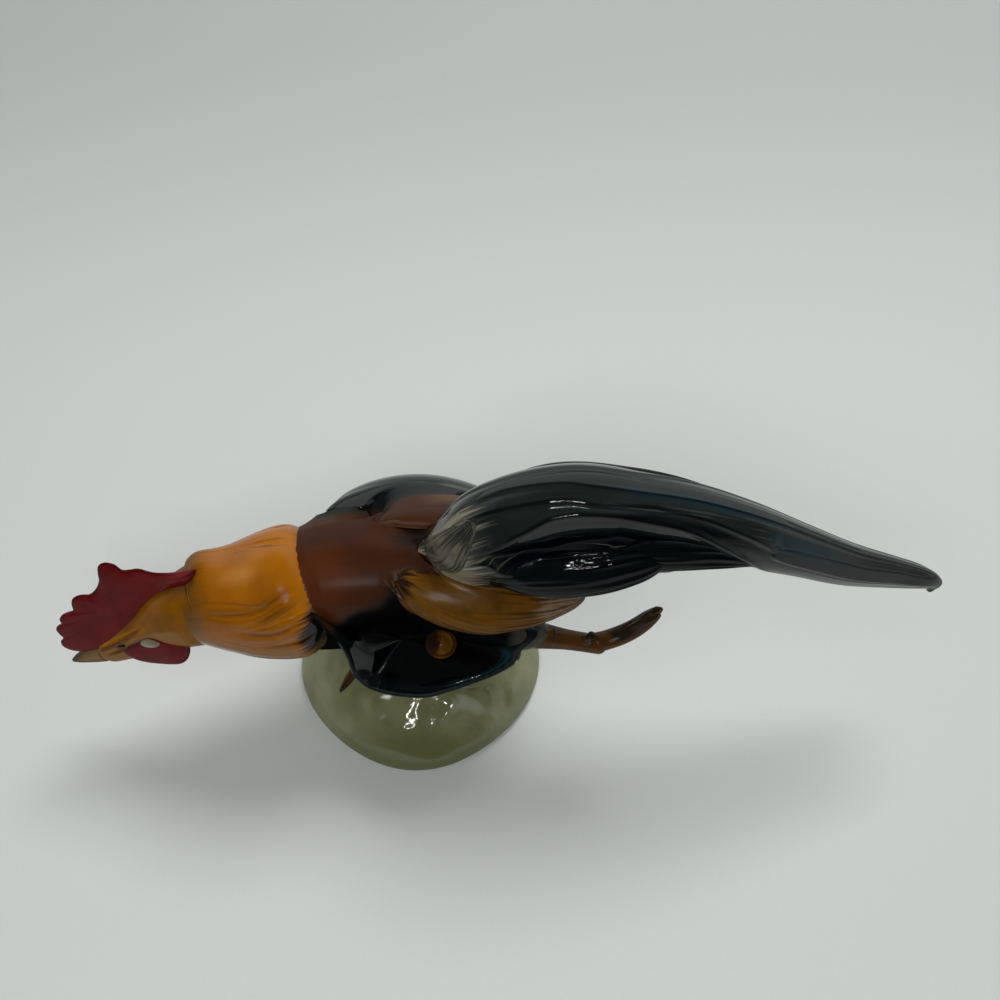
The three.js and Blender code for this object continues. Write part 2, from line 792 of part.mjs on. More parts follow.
// Legs: the right one stands on the mound, and the left one is kicked back
const footTop = moundHeightAt(FOOT_X, FOOT_Y)
const standingThigh = castForm({
  root: onTrunk(0.12, 0.3, -0.6),
  length: STANDING_THIGH_LENGTH,
  width: THIGH_WIDTH,
  along: new THREE.Vector3(-0.25, -0.05, -1).normalize(),
  aside: Y,
  up: X,
  blunt: [0.2, 0.35],
  outline: fluted(8, 0.4),
  stations: [
    [0, 0, 0, 0.9, 1.05],
    [0.5, 0, 0, 0.8, 0.95],
    [1, 0, 0, 0.5, 0.6],
  ],
})
const knee = standingThigh.spine.getPoint(0.8)
const ankle = new THREE.Vector3(FOOT_X, FOOT_Y, footTop + 0.5 * TOE_DIAMETER)

function limb(from, to, diameter, rootShare = 1.15) {
  const along = to.clone().sub(from)
  const length = along.length()
  along.normalize()
  const level = new THREE.Vector3().crossVectors(Z, along)
  const aside = level.length() > 0.2 ? level.normalize() : Y
  return castForm({
    root: from,
    length,
    width: diameter,
    along,
    aside,
    up: new THREE.Vector3().crossVectors(along, aside).negate(),
    blunt: [0.1, 0.1],
    stations: [
      [0, 0, 0, rootShare, rootShare],
      [0.5, 0, 0, 0.92, 0.92],
      [1, 0, 0, 1, 1],
    ],
  })
}
const standingShank = limb(knee, ankle, SHANK_DIAMETER)

// A toe that follows the ground, or curls when the foot hangs free
function toe(start, heading, length, heightAt) {
  const aside = new THREE.Vector3().crossVectors(Z, heading).normalize()
  const stations = [0, 0.3, 0.65, 1].map((share) => {
    const point = start.clone().addScaledVector(heading, share * length)
    const rise = heightAt(point, share) - start.z
    return [share, 0, rise / length, 1 - 0.55 * share ** 2, 1 - 0.5 * share ** 2]
  })
  return castForm({
    root: start,
    length,
    width: TOE_DIAMETER,
    along: heading,
    aside,
    up: Z,
    blunt: [0.15, 0.2],
    stations,
  })
}

function footSolid(toes, grow) {
  const skins = toes.map((form) => solidOf(closedSkin((t, angle) => form.pointAt(t, angle, grow), 7, 7)))
  return skins.reduce((whole, skin) => whole.add(skin))
}

const STANDING_TOES = [
  [228, 1],
  [186, 1.05],
  [146, 0.95],
  [20, 0.6],
]
const standingToes = STANDING_TOES.map(([bearing, share]) =>
  toe(
    ankle,
    new THREE.Vector3(Math.cos(bearing * degrees), Math.sin(bearing * degrees), 0),
    share * TOE_LENGTH,
    (point, along) => moundHeightAt(point.x, point.y) + TOE_DIAMETER * (0.42 - 0.24 * along),
  ),
)

const trailingThigh = castForm({
  root: onTrunk(0.1, -0.45, -0.2),
  length: TRAILING_THIGH_LENGTH,
  width: THIGH_WIDTH,
  blunt: [0.15, 0.08],
  outline: fluted(8, 0.4),
  stations: [
    [0, 0.08, 0, 0.8, 0.9],
    [0.35, 0.01, 0.02, 0.85, 1],
    [0.7, -0.07, 0.02, 0.78, 0.85],
    [1, -0.1, -0.01, 0.5, 0.5],
  ],
})
const hock = trailingThigh.spine.getPoint(0.94)
const shankDrop = TRAILING_SHANK_DROP * degrees
const shankWay = new THREE.Vector3(Math.cos(shankDrop), -0.03, -Math.sin(shankDrop))
const heel = hock.clone().addScaledVector(shankWay, TRAILING_SHANK_LENGTH)
const trailingShank = limb(hock, heel, SHANK_DIAMETER, 1.1)
const spurSeat = trailingShank.spine.getPoint(0.72)
const spurTip = spurSeat.clone().addScaledVector(new THREE.Vector3(0.3, -0.08, 0.95), SPUR_LENGTH)
const spur = limb(spurSeat, spurTip, SPUR_DIAMETER, 1.3)

const TRAILING_TOES = [
  [7, 0.7, 0.7],
  [13, 0.74, 0.8],
  [19, 0.68, 0.7],
]
const trailingToes = TRAILING_TOES.map(([bearing, share, curl]) =>
  toe(
    heel,
    new THREE.Vector3(Math.cos(bearing * degrees), Math.sin(bearing * degrees), 0),
    share * TOE_LENGTH,
    (point, along) => heel.z + TOE_LENGTH * (curl * along ** 2.3 - 0.16 * along),
  ),
)

// The forms in the order in which they are laid: small and outer ones first, then the trunk under them
layForm('left_earlobe', 'ivory', earlobe(-1), 6, 8)
layForm('right_earlobe', 'ivory', earlobe(1), 6, 8)
layForm('left_wattle', 'crimson', wattle(-1), 7, 10)
layForm('right_wattle', 'crimson', wattle(1), 7, 10)
layForm('beak', 'tan', beak, 8, 10)
layForm('head', 'amber', head, 11, 16)
layForm('tail_tuft', 'straw', tuft, 8, 10)
layForm('left_tail_covert', 'raven', tailCovert(-1), 10, 12)
layForm('right_tail_covert', 'raven', tailCovert(1), 10, 12)
layForm('left_lesser_sickle', 'raven', lesserSickle(-1), 9, 10)
layForm('right_lesser_sickle', 'raven', lesserSickle(1), 9, 10)
layForm('right_upper_sickle', 'raven', upperSickle, 10, 10)
layForm('tail_plume', 'raven', tailPlume, 23, 24)
layForm('left_saddle_hackle', 'ochre', saddle(-1), 11, 14)
layForm('right_saddle_hackle', 'chestnut', saddle(1), 11, 14)
layForm('left_wing_boss', 'ochre', wingBoss, 7, 12)
layForm('left_wing', 'raven', leftWing(LEFT_WING_DISH), 14, 28, leftWing(0))
layForm('right_wing', 'raven', rightWing, 13, 18)
layForm('neck_hackle', 'amber', neck, 12, 24)
lay('comb', 'crimson', combSolid(), combSolid())
layForm('left_shank', 'tan', trailingShank, 5, 9)
layForm('left_thigh', 'slate', trailingThigh, 9, 12)
layForm('right_shank', 'tan', standingShank, 5, 9)
layForm('right_thigh', 'chestnut', standingThigh, 7, 12)
layForm(
  'body',
  'chestnut',
  castForm({
    root: onTrunk(-1, 0, 0),
    length: BODY_LENGTH,
    lift: BODY_DEPTH,
    sway: BODY_WIDTH,
    width: BODY_WIDTH,
    depth: BODY_DEPTH,
    blunt: [0.22, 0.2],
    outline: hollowFlank,
    stations: [
      [0, -0.05, 0.02, 0.75, 0.75],
      [0.18, -0.03, 0, 0.9, 0.95],
      [0.38, 0, 0, 1, 1],
      [0.58, 0, 0.02, 0.97, 0.97],
      [0.78, 0, 0.06, 0.75, 0.78],
      [1, 0, 0.12, 0.42, 0.46],
    ],
  }),
  14,
  24,
)
lay('left_foot', 'tan', footSolid(trailingToes, 0), footSolid(trailingToes, SEAM))
lay('right_foot', 'tan', footSolid(standingToes, 0), footSolid(standingToes, SEAM))
lay('left_spur', 'tan', solidOf(closedSkin(spur.pointAt, 5, 8)), solidOf(closedSkin(spur.pointAt, 5, 8)))

const ventGeometry = new THREE.CylinderGeometry(VENT_DIAMETER / 2, VENT_DIAMETER / 2, 2 * VENT_DEPTH, 16)
ventGeometry.rotateX(90 * degrees)
ventGeometry.translate(VENT_OFFSET, 0.6 * VENT_OFFSET, 0)
const moundCasting = solidOf(closedSkin((t, angle) => moundPoint(t, angle, 0), 18, 36))
const moundSolid = moundCasting.subtract(solidOf(ventGeometry))
lay('base_mound', 'celadon', moundSolid, moundSolid)

export default figurine
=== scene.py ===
import math

import bpy
import numpy as np
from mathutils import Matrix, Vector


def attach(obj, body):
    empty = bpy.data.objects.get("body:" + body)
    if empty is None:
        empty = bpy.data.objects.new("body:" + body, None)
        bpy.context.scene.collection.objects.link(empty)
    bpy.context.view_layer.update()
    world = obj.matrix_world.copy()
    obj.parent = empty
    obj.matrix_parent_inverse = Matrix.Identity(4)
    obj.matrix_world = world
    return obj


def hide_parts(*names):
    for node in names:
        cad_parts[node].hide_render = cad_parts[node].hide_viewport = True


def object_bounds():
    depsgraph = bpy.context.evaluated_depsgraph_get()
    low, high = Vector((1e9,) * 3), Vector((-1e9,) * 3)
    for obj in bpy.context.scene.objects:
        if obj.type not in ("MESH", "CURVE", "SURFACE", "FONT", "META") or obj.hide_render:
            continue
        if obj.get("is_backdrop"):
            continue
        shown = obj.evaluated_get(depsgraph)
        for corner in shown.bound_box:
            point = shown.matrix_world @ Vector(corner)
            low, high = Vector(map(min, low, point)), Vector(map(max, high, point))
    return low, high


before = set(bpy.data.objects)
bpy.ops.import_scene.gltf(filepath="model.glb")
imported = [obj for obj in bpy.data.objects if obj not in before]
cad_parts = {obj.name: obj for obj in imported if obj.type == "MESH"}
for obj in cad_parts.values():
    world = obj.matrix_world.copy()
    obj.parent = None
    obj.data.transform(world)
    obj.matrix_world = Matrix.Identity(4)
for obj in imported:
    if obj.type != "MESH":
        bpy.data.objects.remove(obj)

cad_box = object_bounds()

MM = 0.001
X, Y, Z = np.eye(3)

# The driving sizes, as in the CAD
BODY_LENGTH, BODY_WIDTH, BODY_DEPTH = 88, 39, 41
BODY_AXIS_HEIGHT, BODY_MIDDLE_X, FLANK_HOLLOW = 57, -2, 8
NECK_LENGTH, NECK_WIDTH, NECK_DEPTH = 44, 37.5, 36.5
HEAD_LENGTH, HEAD_WIDTH, HEAD_DEPTH, HEAD_DROP, HEAD_ROLL = 36, 24.6, 26, 19, 14
BEAK_LENGTH, BEAK_WIDTH, BEAK_DEPTH = 12, 6.2, 7.2
COMB_HEIGHT, COMB_THICKNESS = 17.5, 3
WATTLE_LENGTH, WATTLE_DEPTH, WATTLE_THICKNESS = 20, 12, 4
EARLOBE_DEPTH, EARLOBE_THICKNESS = 3.6, 2.6
WING_LENGTH, LEFT_WING_WIDTH, LEFT_WING_THICKNESS, LEFT_WING_DISH = 62, 30, 2.4, 6.5
RIGHT_WING_WIDTH, RIGHT_WING_DEPTH = 25, 17
WING_BOSS_DIAMETER, WING_BOSS_HEIGHT = 9, 5
SADDLE_LENGTH, SADDLE_WIDTH, SADDLE_DEPTH = 52, 16, 9
TAIL_LENGTH, TAIL_RISE, TAIL_FALL, TAIL_WIDTH, TAIL_DEPTH = 145, 13, 21, 26, 32
COVERT_LENGTH, COVERT_WIDTH, FEATHER_THICKNESS = 48, 12, 5
SICKLE_LENGTH, SICKLE_WIDTH = 42, 9
UPPER_SICKLE_LENGTH, UPPER_SICKLE_WIDTH, UPPER_SICKLE_THICKNESS = 66, 14, 6
TUFT_WIDTH = 11
THIGH_WIDTH, STANDING_THIGH_LENGTH, TRAILING_THIGH_LENGTH = 15, 16, 38
SHANK_DIAMETER, TRAILING_SHANK_LENGTH, TRAILING_SHANK_DROP = 5.6, 20, 21.5
SPUR_LENGTH, SPUR_DIAMETER = 6.5, 2.6
TOE_LENGTH, TOE_DIAMETER, FOOT_X, FOOT_Y = 20, 4.4, -8, 3
MOUND_RADIUS, MOUND_HEIGHT, MOUND_EDGE, MOUND_BEVEL = 37, 21, 5.5, 1.7
MOUND_CORNER, MOUND_STRETCH, LEAF_RELIEF = 0.5, 1.8, 1.1
VENT_DIAMETER, VENT_DEPTH, VENT_OFFSET = 4, 9, 15


# Curves and fades

def ramp(x, low, high):
    """Soft step: 0 below low, 1 above high, and 3s^2 - 2s^3 between, s being the share of the way."""
    s = np.clip((x - low) / (high - low), 0, 1)
    return s * s * (3 - 2 * s)


def window(x, start, end, fade):
    """1 between start and end, with a soft step of the given length inside each end."""
    return ramp(x, start, start + fade) * (1 - ramp(x, end - fade, end))


def bell(x, spread):
    """Soft bump: e to the power -(x / spread)^2."""
    return np.exp(-((x / spread) ** 2))


def unit(v):
    return v / np.linalg.norm(v, axis=-1, keepdims=True)


def quarter_round(share):
    """Height of a quarter circle over its foot: 0 at the pole, 1 where the form has its full girth."""
    return np.sqrt(np.clip(1 - (1 - np.clip(share, 0, 1)) ** 2, 0, 1))


def through(points, t):
    """Smooth curve through points, t from 0 to 1: on each stretch a cubic whose end slopes are half the
    step between the two neighbouring points. Gives the places and the slopes."""
    p = np.asarray(points, float)
    p = np.vstack([2 * p[0] - p[1], p, 2 * p[-1] - p[-2]])
    stretches = len(p) - 3
    place = np.clip(t, 0, 1) * stretches
    k = np.minimum(place.astype(int), stretches - 1)
    w = (place - k)[:, None]
    before, start, end, after = (p[k + i] for i in range(4))
    m0, m1 = (end - before) / 2, (after - start) / 2
    at = (2 * w**3 - 3 * w**2 + 1) * start + (w**3 - 2 * w**2 + w) * m0
    at += (3 * w**2 - 2 * w**3) * end + (w**3 - w**2) * m1
    slope = (6 * w**2 - 6 * w) * (start - end) + (3 * w**2 - 4 * w + 1) * m0 + (3 * w**2 - 2 * w) * m1
    return at, slope


def course(rows, t):
    """Angle of a line drawn along a form, from rows of (t, angle), whose t rises or falls throughout: the
    smooth curve through them, read at t."""
    line, _ = through(rows, np.linspace(0, 1, 200))
    if line[0, 0] > line[-1, 0]:
        line = line[::-1]
    return np.interp(t, line[:, 0], line[:, 1])


def off(angle, line):
    """How far round an angle lies from a line, in degrees from -180 to 180."""
    return np.mod(angle - line + 180, 360) - 180


def grain(u, v, seed):
    """Smooth random field from -1 to 1: a lattice of seeded random values, blended between the four corners
    of each cell by soft steps. It repeats every 64 cells."""
    lattice = np.random.default_rng(seed).uniform(-1, 1, (64, 64))
    i, j = np.floor(u).astype(int), np.floor(v).astype(int)
    s, r = ramp(u - i, 0, 1), ramp(v - j, 0, 1)
    corner = lambda a, b: lattice[np.mod(i + a, 64), np.mod(j + b, 64)]
    near = corner(0, 0) * (1 - s) + corner(1, 0) * s
    far = corner(0, 1) * (1 - s) + corner(1, 1) * s
    return near * (1 - r) + far * r


# Forms

class Cast:
    """A section carried along a spine. Its stations are rows of [along, aside, up, wide, deep, turn], the
    first five as shares of the form's length, sway, lift, width and depth, the turn in degrees. The skin is
    the smooth curve through the stations plus the section's half width times the cosine, and its half depth
    times the sine, of the angle round it. press(t, angle), where given, is how far the section is pushed in,
    in mm. A form that follows another is given its path's points instead of a root and a length."""

    def __init__(self, stations, root=None, length=0, sway=None, lift=None, width=1, depth=None,
                 along=X, aside=Y, up=Z, blunt=(0.12, 0.12), path=None, press=None):
        sway = length if sway is None else sway
        lift = length if lift is None else lift
        depth = width if depth is None else depth
        rows = np.array([list(s) + [0] * (6 - len(s)) for s in stations], float)
        if path is None:
            ahead, beside, over = rows[:, :1] * length, rows[:, 1:2] * sway, rows[:, 2:3] * lift
            path = root + ahead * along + beside * aside + over * up
        self.path = np.asarray(path, float)
        self.girth = rows[:, 3:6] * [width / 2, depth / 2, 1]
        self.aside, self.up, self.blunt = aside, up, blunt
        self.press = press

    def frame(self, t):
        """Spine, sideways and upward directions and half sizes of the sections at n values of t."""
        spine, slope = through(self.path, t)
        tangent = unit(slope)
        sideways = unit(self.aside - (tangent @ self.aside)[:, None] * tangent)
        upright = np.cross(tangent, sideways)
        upright *= np.where(upright @ self.up < 0, -1, 1)[:, None]
        half, _ = through(self.girth, t)
        turn = np.radians(half[:, 2:3])
        across = sideways * np.cos(turn) + upright * np.sin(turn)
        above = upright * np.cos(turn) - sideways * np.sin(turn)
        start, end = self.blunt
        scale = quarter_round(t / start) * quarter_round((1 - t) / end)
        return spine, across, above, half[:, 0] * scale, half[:, 1] * scale, scale

    def at(self, t, angle):
        """Places on the skin for n values of t and m angles, as n by m by 3."""
        spine, across, above, wide, deep, scale = self.frame(t)
        a = np.radians(angle)[None, :]
        push = 0.0 if self.press is None else self.press(t[:, None], angle[None, :]) * scale[:, None]
        out = (wide[:, None] - push) * np.cos(a)
        over = (deep[:, None] - push) * np.sin(a)
        return spine[:, None] + out[..., None] * across[:, None] + over[..., None] * above[:, None]

    def point(self, t, angle):
        return self.at(np.array([t]), np.array([angle]))[0, 0]

    def beyond(self, places):
        """How far places lie outside the skin, in mm, below 0 inside, and the way straight out of it: at the
        nearest point of the spine, the place's distance from the spine less the section's reach that way,
        times the cosine between that way and the section's own normal."""
        steps = np.linspace(0, 1, 61)
        spine, _ = through(self.path, steps)
        square = (places**2).sum(1)[:, None] - 2 * places @ spine.T + (spine**2).sum(1)[None]
        k = np.clip(square.argmin(1), 1, len(steps) - 2)
        row = np.arange(len(places))
        before, here, after = square[row, k - 1], square[row, k], square[row, k + 1]
        slide = np.clip(0.5 * (before - after) / np.maximum(before - 2 * here + after, 1e-9), -1, 1)
        t = np.clip((k + slide) / (len(steps) - 1), 0.004, 0.996)
        spine, across, above, wide, deep, scale = self.frame(t)
        away = places - spine
        x, y = (away * across).sum(1), (away * above).sum(1)
        a = np.arctan2(y * wide, x * deep)
        push = 0.0 if self.press is None else self.press(t, np.mod(np.degrees(a), 360)) * scale
        reach = np.hypot((wide - push) * np.cos(a), (deep - push) * np.sin(a))
        flat = np.maximum(np.hypot(x, y), 1e-6)
        way = unit(np.stack([np.cos(a) * deep, np.sin(a) * wide], 1) + 1e-9)
        radial = (flat - reach) * np.maximum((way * np.stack([x, y], 1)).sum(1) / flat, 0.5)
        way = way[:, :1] * across + way[:, 1:] * above
        ahead = away - x[:, None] * across - y[:, None] * above
        past = np.linalg.norm(ahead, axis=1)
        out = np.maximum(radial, 0)
        capped = unit(out[:, None] * way + ahead + 1e-9)
        is_past = (past > 0.3)[:, None]
        return np.where(past > 0.3, np.hypot(out, past), radial), np.where(is_past, capped, way)

    def near(self, places, reach):
        """Which places lie within reach of the box round the form."""
        low, high = self.path.min(0), self.path.max(0)
        margin = self.girth[:, :2].max() + reach
        return ((places > low - margin) & (places < high + margin)).all(-1)

    def grid(self, rings, round_steps):
        """The values of t, closer near the two poles as (1 - cos) / 2 of an even sweep, and of the angle."""
        t = (1 - np.cos(np.pi * np.linspace(0, 1, rings))) / 2
        return t, np.linspace(270, 630, round_steps, endpoint=False)

    def skin(self, rings, round_steps, relief=None, luted=()):
        """The whole skin on a grid, smoothed into the forms it is luted to, and then modelled:
        relief(t, angle) is the height of the modelling, in mm, laid on square to the skin."""
        t, angle = self.grid(rings, round_steps)
        points = lute(self.at(t, angle), self, luted)
        t, angle = t[:, None], np.mod(angle, 360)[None, :]
        if relief is not None:
            points = points + (relief(t, angle) * calm(points, luted))[..., None] * outward(points)
        return points, t, angle


def outward(points):
    """Unit normals of a grid of rings between two poles, pointing out of it."""
    ahead = np.gradient(points, axis=0)
    beside = np.roll(points, -1, 1) - np.roll(points, 1, 1)
    normal = np.cross(ahead, beside)
    middle = points.mean((0, 1))
    sign = 1 if ((points - middle) * normal).sum() > 0 else -1
    normal = sign * normal / np.maximum(np.linalg.norm(normal, axis=-1, keepdims=True), 1e-9)
    for pole, beside_it in ((0, 1), (-1, -2)):
        normal[pole] = unit(normal[beside_it].mean(0))
    return normal


def calm(points, others):
    """1 away from the joints, falling softly to 0 where a skin meets another form, as a wet sponge takes the
    modelling off a seam."""
    places = points.reshape(-1, 3)
    share = np.ones(len(places))
    for other, reach in others:
        close = np.flatnonzero(other.near(places, reach))
        gap, _ = other.beyond(places[close])
        share[close] = np.minimum(share[close], ramp(gap, 0.0, 0.45 * reach))
    return share.reshape(points.shape[:2])


def lute(points, own, others, sunk=0.6):
    """Smooths a form's own skin into the others, as slip fills the joint between two castings. Near a joint
    each place moves, step by step along the slope, onto the soft least of the two distances:
    least(a, b) - h^2 * reach / 4 with h = 1 - |a - b| / reach, the reach shrinking to nothing where the two
    faces run alongside each other. On the other form's side the skin runs on a little below the other's."""
    places = points.reshape(-1, 3).copy()
    for other, reach in others:
        near = np.flatnonzero(other.near(places, 2 * reach))
        gap, _ = other.beyond(places[near])
        near, gap = near[np.abs(gap) < 1.8 * reach], gap[np.abs(gap) < 1.8 * reach]
        start = places[near]
        moved = start.copy()
        for _ in range(4):
            mine, mine_way = own.beyond(moved)
            theirs, their_way = other.beyond(moved)
            fill = reach * ramp(1 - (mine_way * their_way).sum(1), 0.0, 0.3)
            h = np.clip(1 - np.abs(mine - theirs) / np.maximum(fill, 0.2), 0, 1)
            share = np.where(mine < theirs, h / 2, 1 - h / 2)[:, None]
            slope = (1 - share) * mine_way + share * their_way
            joined = np.minimum(mine, theirs) - h * h * fill / 4
            step = -joined - sunk * ramp(mine - theirs, 0, 1.5)
            step = np.clip(step / np.maximum((slope**2).sum(1), 0.3), -3, 3)
            moved += step[:, None] * slope
        keep = ramp(-gap, 0.5 * reach, 1.5 * reach)[:, None]
        keep = np.maximum(keep, ramp(gap, 1.2 * reach, 1.7 * reach)[:, None])
        places[near] = keep * start + (1 - keep) * moved
    return places.reshape(points.shape)


def lap(away, rise, run, lip):
    """Edge of a feather that lies over the next one: seen square to the edge, the surface climbs to it by
    rise * e^(away / run) and drops within lip. away is negative on the feather."""
    return rise * np.exp(np.minimum(away, 0) / run) * (1 - ramp(away, -lip, lip))


def leaf(t, angle, middle, tip, root, half_width, rise):
    """A feather that grows out of the surface: its middle line is a course of (t, angle) rows, its half
    width shrinks to nothing at the tip as a quarter circle, and its height is rise * (1 - s^2)^0.4, s being
    the share of the half width, fading in from root to tip. t falls from root to tip or rises, either way."""
    share = np.clip((t - root) / (tip - root), 0, 1)
    width = half_width * quarter_round((1 - share) * 2.2) * (0.75 + 0.25 * share)
    s = np.abs(off(angle, course(middle, t))) / np.maximum(width, 1e-3)
    inside = (t - root) / (tip - root)
    on = np.where((inside > 0) & (inside < 1), np.clip(1 - s**2, 0, 1) ** 0.4, 0)
    return rise * on * ramp(share, 0, 0.8)


def on_trunk(along, aside, up):
    """A point of the trunk, given as shares of its half length, half width and half depth."""
    half = np.array([BODY_LENGTH, BODY_WIDTH, BODY_DEPTH]) / 2
    return np.array([BODY_MIDDLE_X, 0, BODY_AXIS_HEIGHT]) + half * [along, aside, up]


# Meshes

def curvature(points, sign):
    """How sharply the skin bends at each grid point, in 1/mm, above 0 where it bulges: the change of the
    unit normal along a grid line over the step along it. Gives the larger and the smaller of the two
    directions."""
    ahead = np.gradient(points, axis=0)
    beside = (np.roll(points, -1, 1) - np.roll(points, 1, 1)) / 2
    normal = sign * unit(np.cross(ahead, beside) + 1e-12)
    turned = np.gradient(normal, axis=0), (np.roll(normal, -1, 1) - np.roll(normal, 1, 1)) / 2
    bends = [(step * turn).sum(-1) / np.maximum((step**2).sum(-1), 1e-4)
             for step, turn in zip((ahead, beside), turned)]
    crest, hollow = np.maximum(*bends), np.minimum(*bends)
    return crest, hollow


def shell(name, points, marks=None):
    """A closed mesh from a grid of rings between two poles. Its attribute crest marks the sharp edges, where
    a fluid glaze runs thin, and pool marks the grooves, where it gathers. Its UV map is in mm, along and
    round the form. marks are further attributes, painted by formula."""
    rings, across = points.shape[:2]
    ring = 1 + np.arange((rings - 2) * across).reshape(rings - 2, across)
    beside = np.roll(ring, -1, 1)
    places = np.vstack([points[:1].mean(1), points[1:-1].reshape(-1, 3), points[-1:].mean(1)])
    last = len(places) - 1
    quads = np.stack([ring[:-1], beside[:-1], beside[1:], ring[1:]], -1).reshape(-1, 4)
    fan = np.stack([np.zeros(across, int), beside[0], ring[0]], -1)
    end_fan = np.stack([np.full(across, last), ring[-1], beside[-1]], -1)
    corners = places[quads]
    middle = places.mean(0)
    first, second, third = (corners[:, k] - middle for k in range(3))
    volume = np.einsum("ij,ij->", first, np.cross(second, third))
    sign = 1 if volume > 0 else -1

    steps = np.linalg.norm(np.diff(points, axis=0), axis=-1).mean(1)
    along = np.concatenate([[0], np.cumsum(steps)])
    girths = np.linalg.norm(np.roll(points, -1, 1) - points, axis=-1).sum(1)
    about = np.arange(across + 1) / across * girths.max()
    i = np.repeat(np.arange(1, rings - 2), across)
    j = np.tile(np.arange(across), rings - 3)
    quad_uv = np.stack([np.stack([along[i + a], about[j + b]], -1)
                        for a, b in ((0, 0), (0, 1), (1, 1), (1, 0))], 1)
    j = np.arange(across)
    fan_uv = np.stack([np.stack([np.full(across, along[r]), about[j + b]], -1)
                       for r, b in ((0, 0), (1, 1), (1, 0))], 1)
    end_uv = np.stack([np.stack([np.full(across, along[r]), about[j + b]], -1)
                       for r, b in ((-1, 0), (-2, 0), (-2, 1))], 1)
    groups = [(quads, quad_uv), (fan, fan_uv), (end_fan, end_uv)]
    if sign < 0:
        groups = [(faces[:, ::-1], uv[:, ::-1]) for faces, uv in groups]

    mesh = bpy.data.meshes.new(name)
    mesh.from_pydata((places * MM).tolist(), [], [face for faces, _ in groups for face in faces.tolist()])
    layer = mesh.uv_layers.new(name="lay")
    layer.data.foreach_set("uv", np.concatenate([uv.reshape(-1) for _, uv in groups]).astype(np.float32))
    mesh.polygons.foreach_set("use_smooth", np.ones(len(mesh.polygons), bool))
    crest, hollow = curvature(points, sign)
    edge = np.zeros(rings)
    edge[2:-2] = 1
    fields = {"crest": ramp(crest, 0.3, 1.1) * edge[:, None],
              "pool": ramp(-hollow, 0.12, 0.6) * edge[:, None], **(marks or {})}
    for key, field in fields.items():
        field = np.broadcast_to(field, (rings, across))
        values = np.concatenate([field[0, :1], field[1:-1].ravel(), field[-1, :1]])
        mesh.attributes.new(key, "FLOAT", "POINT").data.foreach_set("value", values.astype(np.float32))
    piece = bpy.data.objects.new(name, mesh)
    bpy.context.scene.collection.objects.link(piece)
    return piece


def settle(piece, node, material):
    """The piece stands for its CAD node and carries its glaze."""
    piece.data.materials.append(material)
    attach(piece, "root")
    if node:
        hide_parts(node)
    return piece


# Glazes

def linear(hex_colour):
    """sRGB hex to linear RGBA."""
    parts = [int(hex_colour[k:k + 2], 16) / 255 for k in (1, 3, 5)]
    return [c / 12.92 if c <= 0.04045 else ((c + 0.055) / 1.055) ** 2.4 for c in parts] + [1.0]


def add(tree, kind, inputs=None, **settings):
    """Adds a node with its settings, and sets or links its inputs by name or number."""
    node = tree.nodes.new("ShaderNode" + kind)
    for key, value in settings.items():
        setattr(node, key, value)
    for key, value in (inputs or {}).items():
        if isinstance(value, bpy.types.NodeSocket):
            tree.links.new(value, node.inputs[key])
        else:
            node.inputs[key].default_value = value
    return node


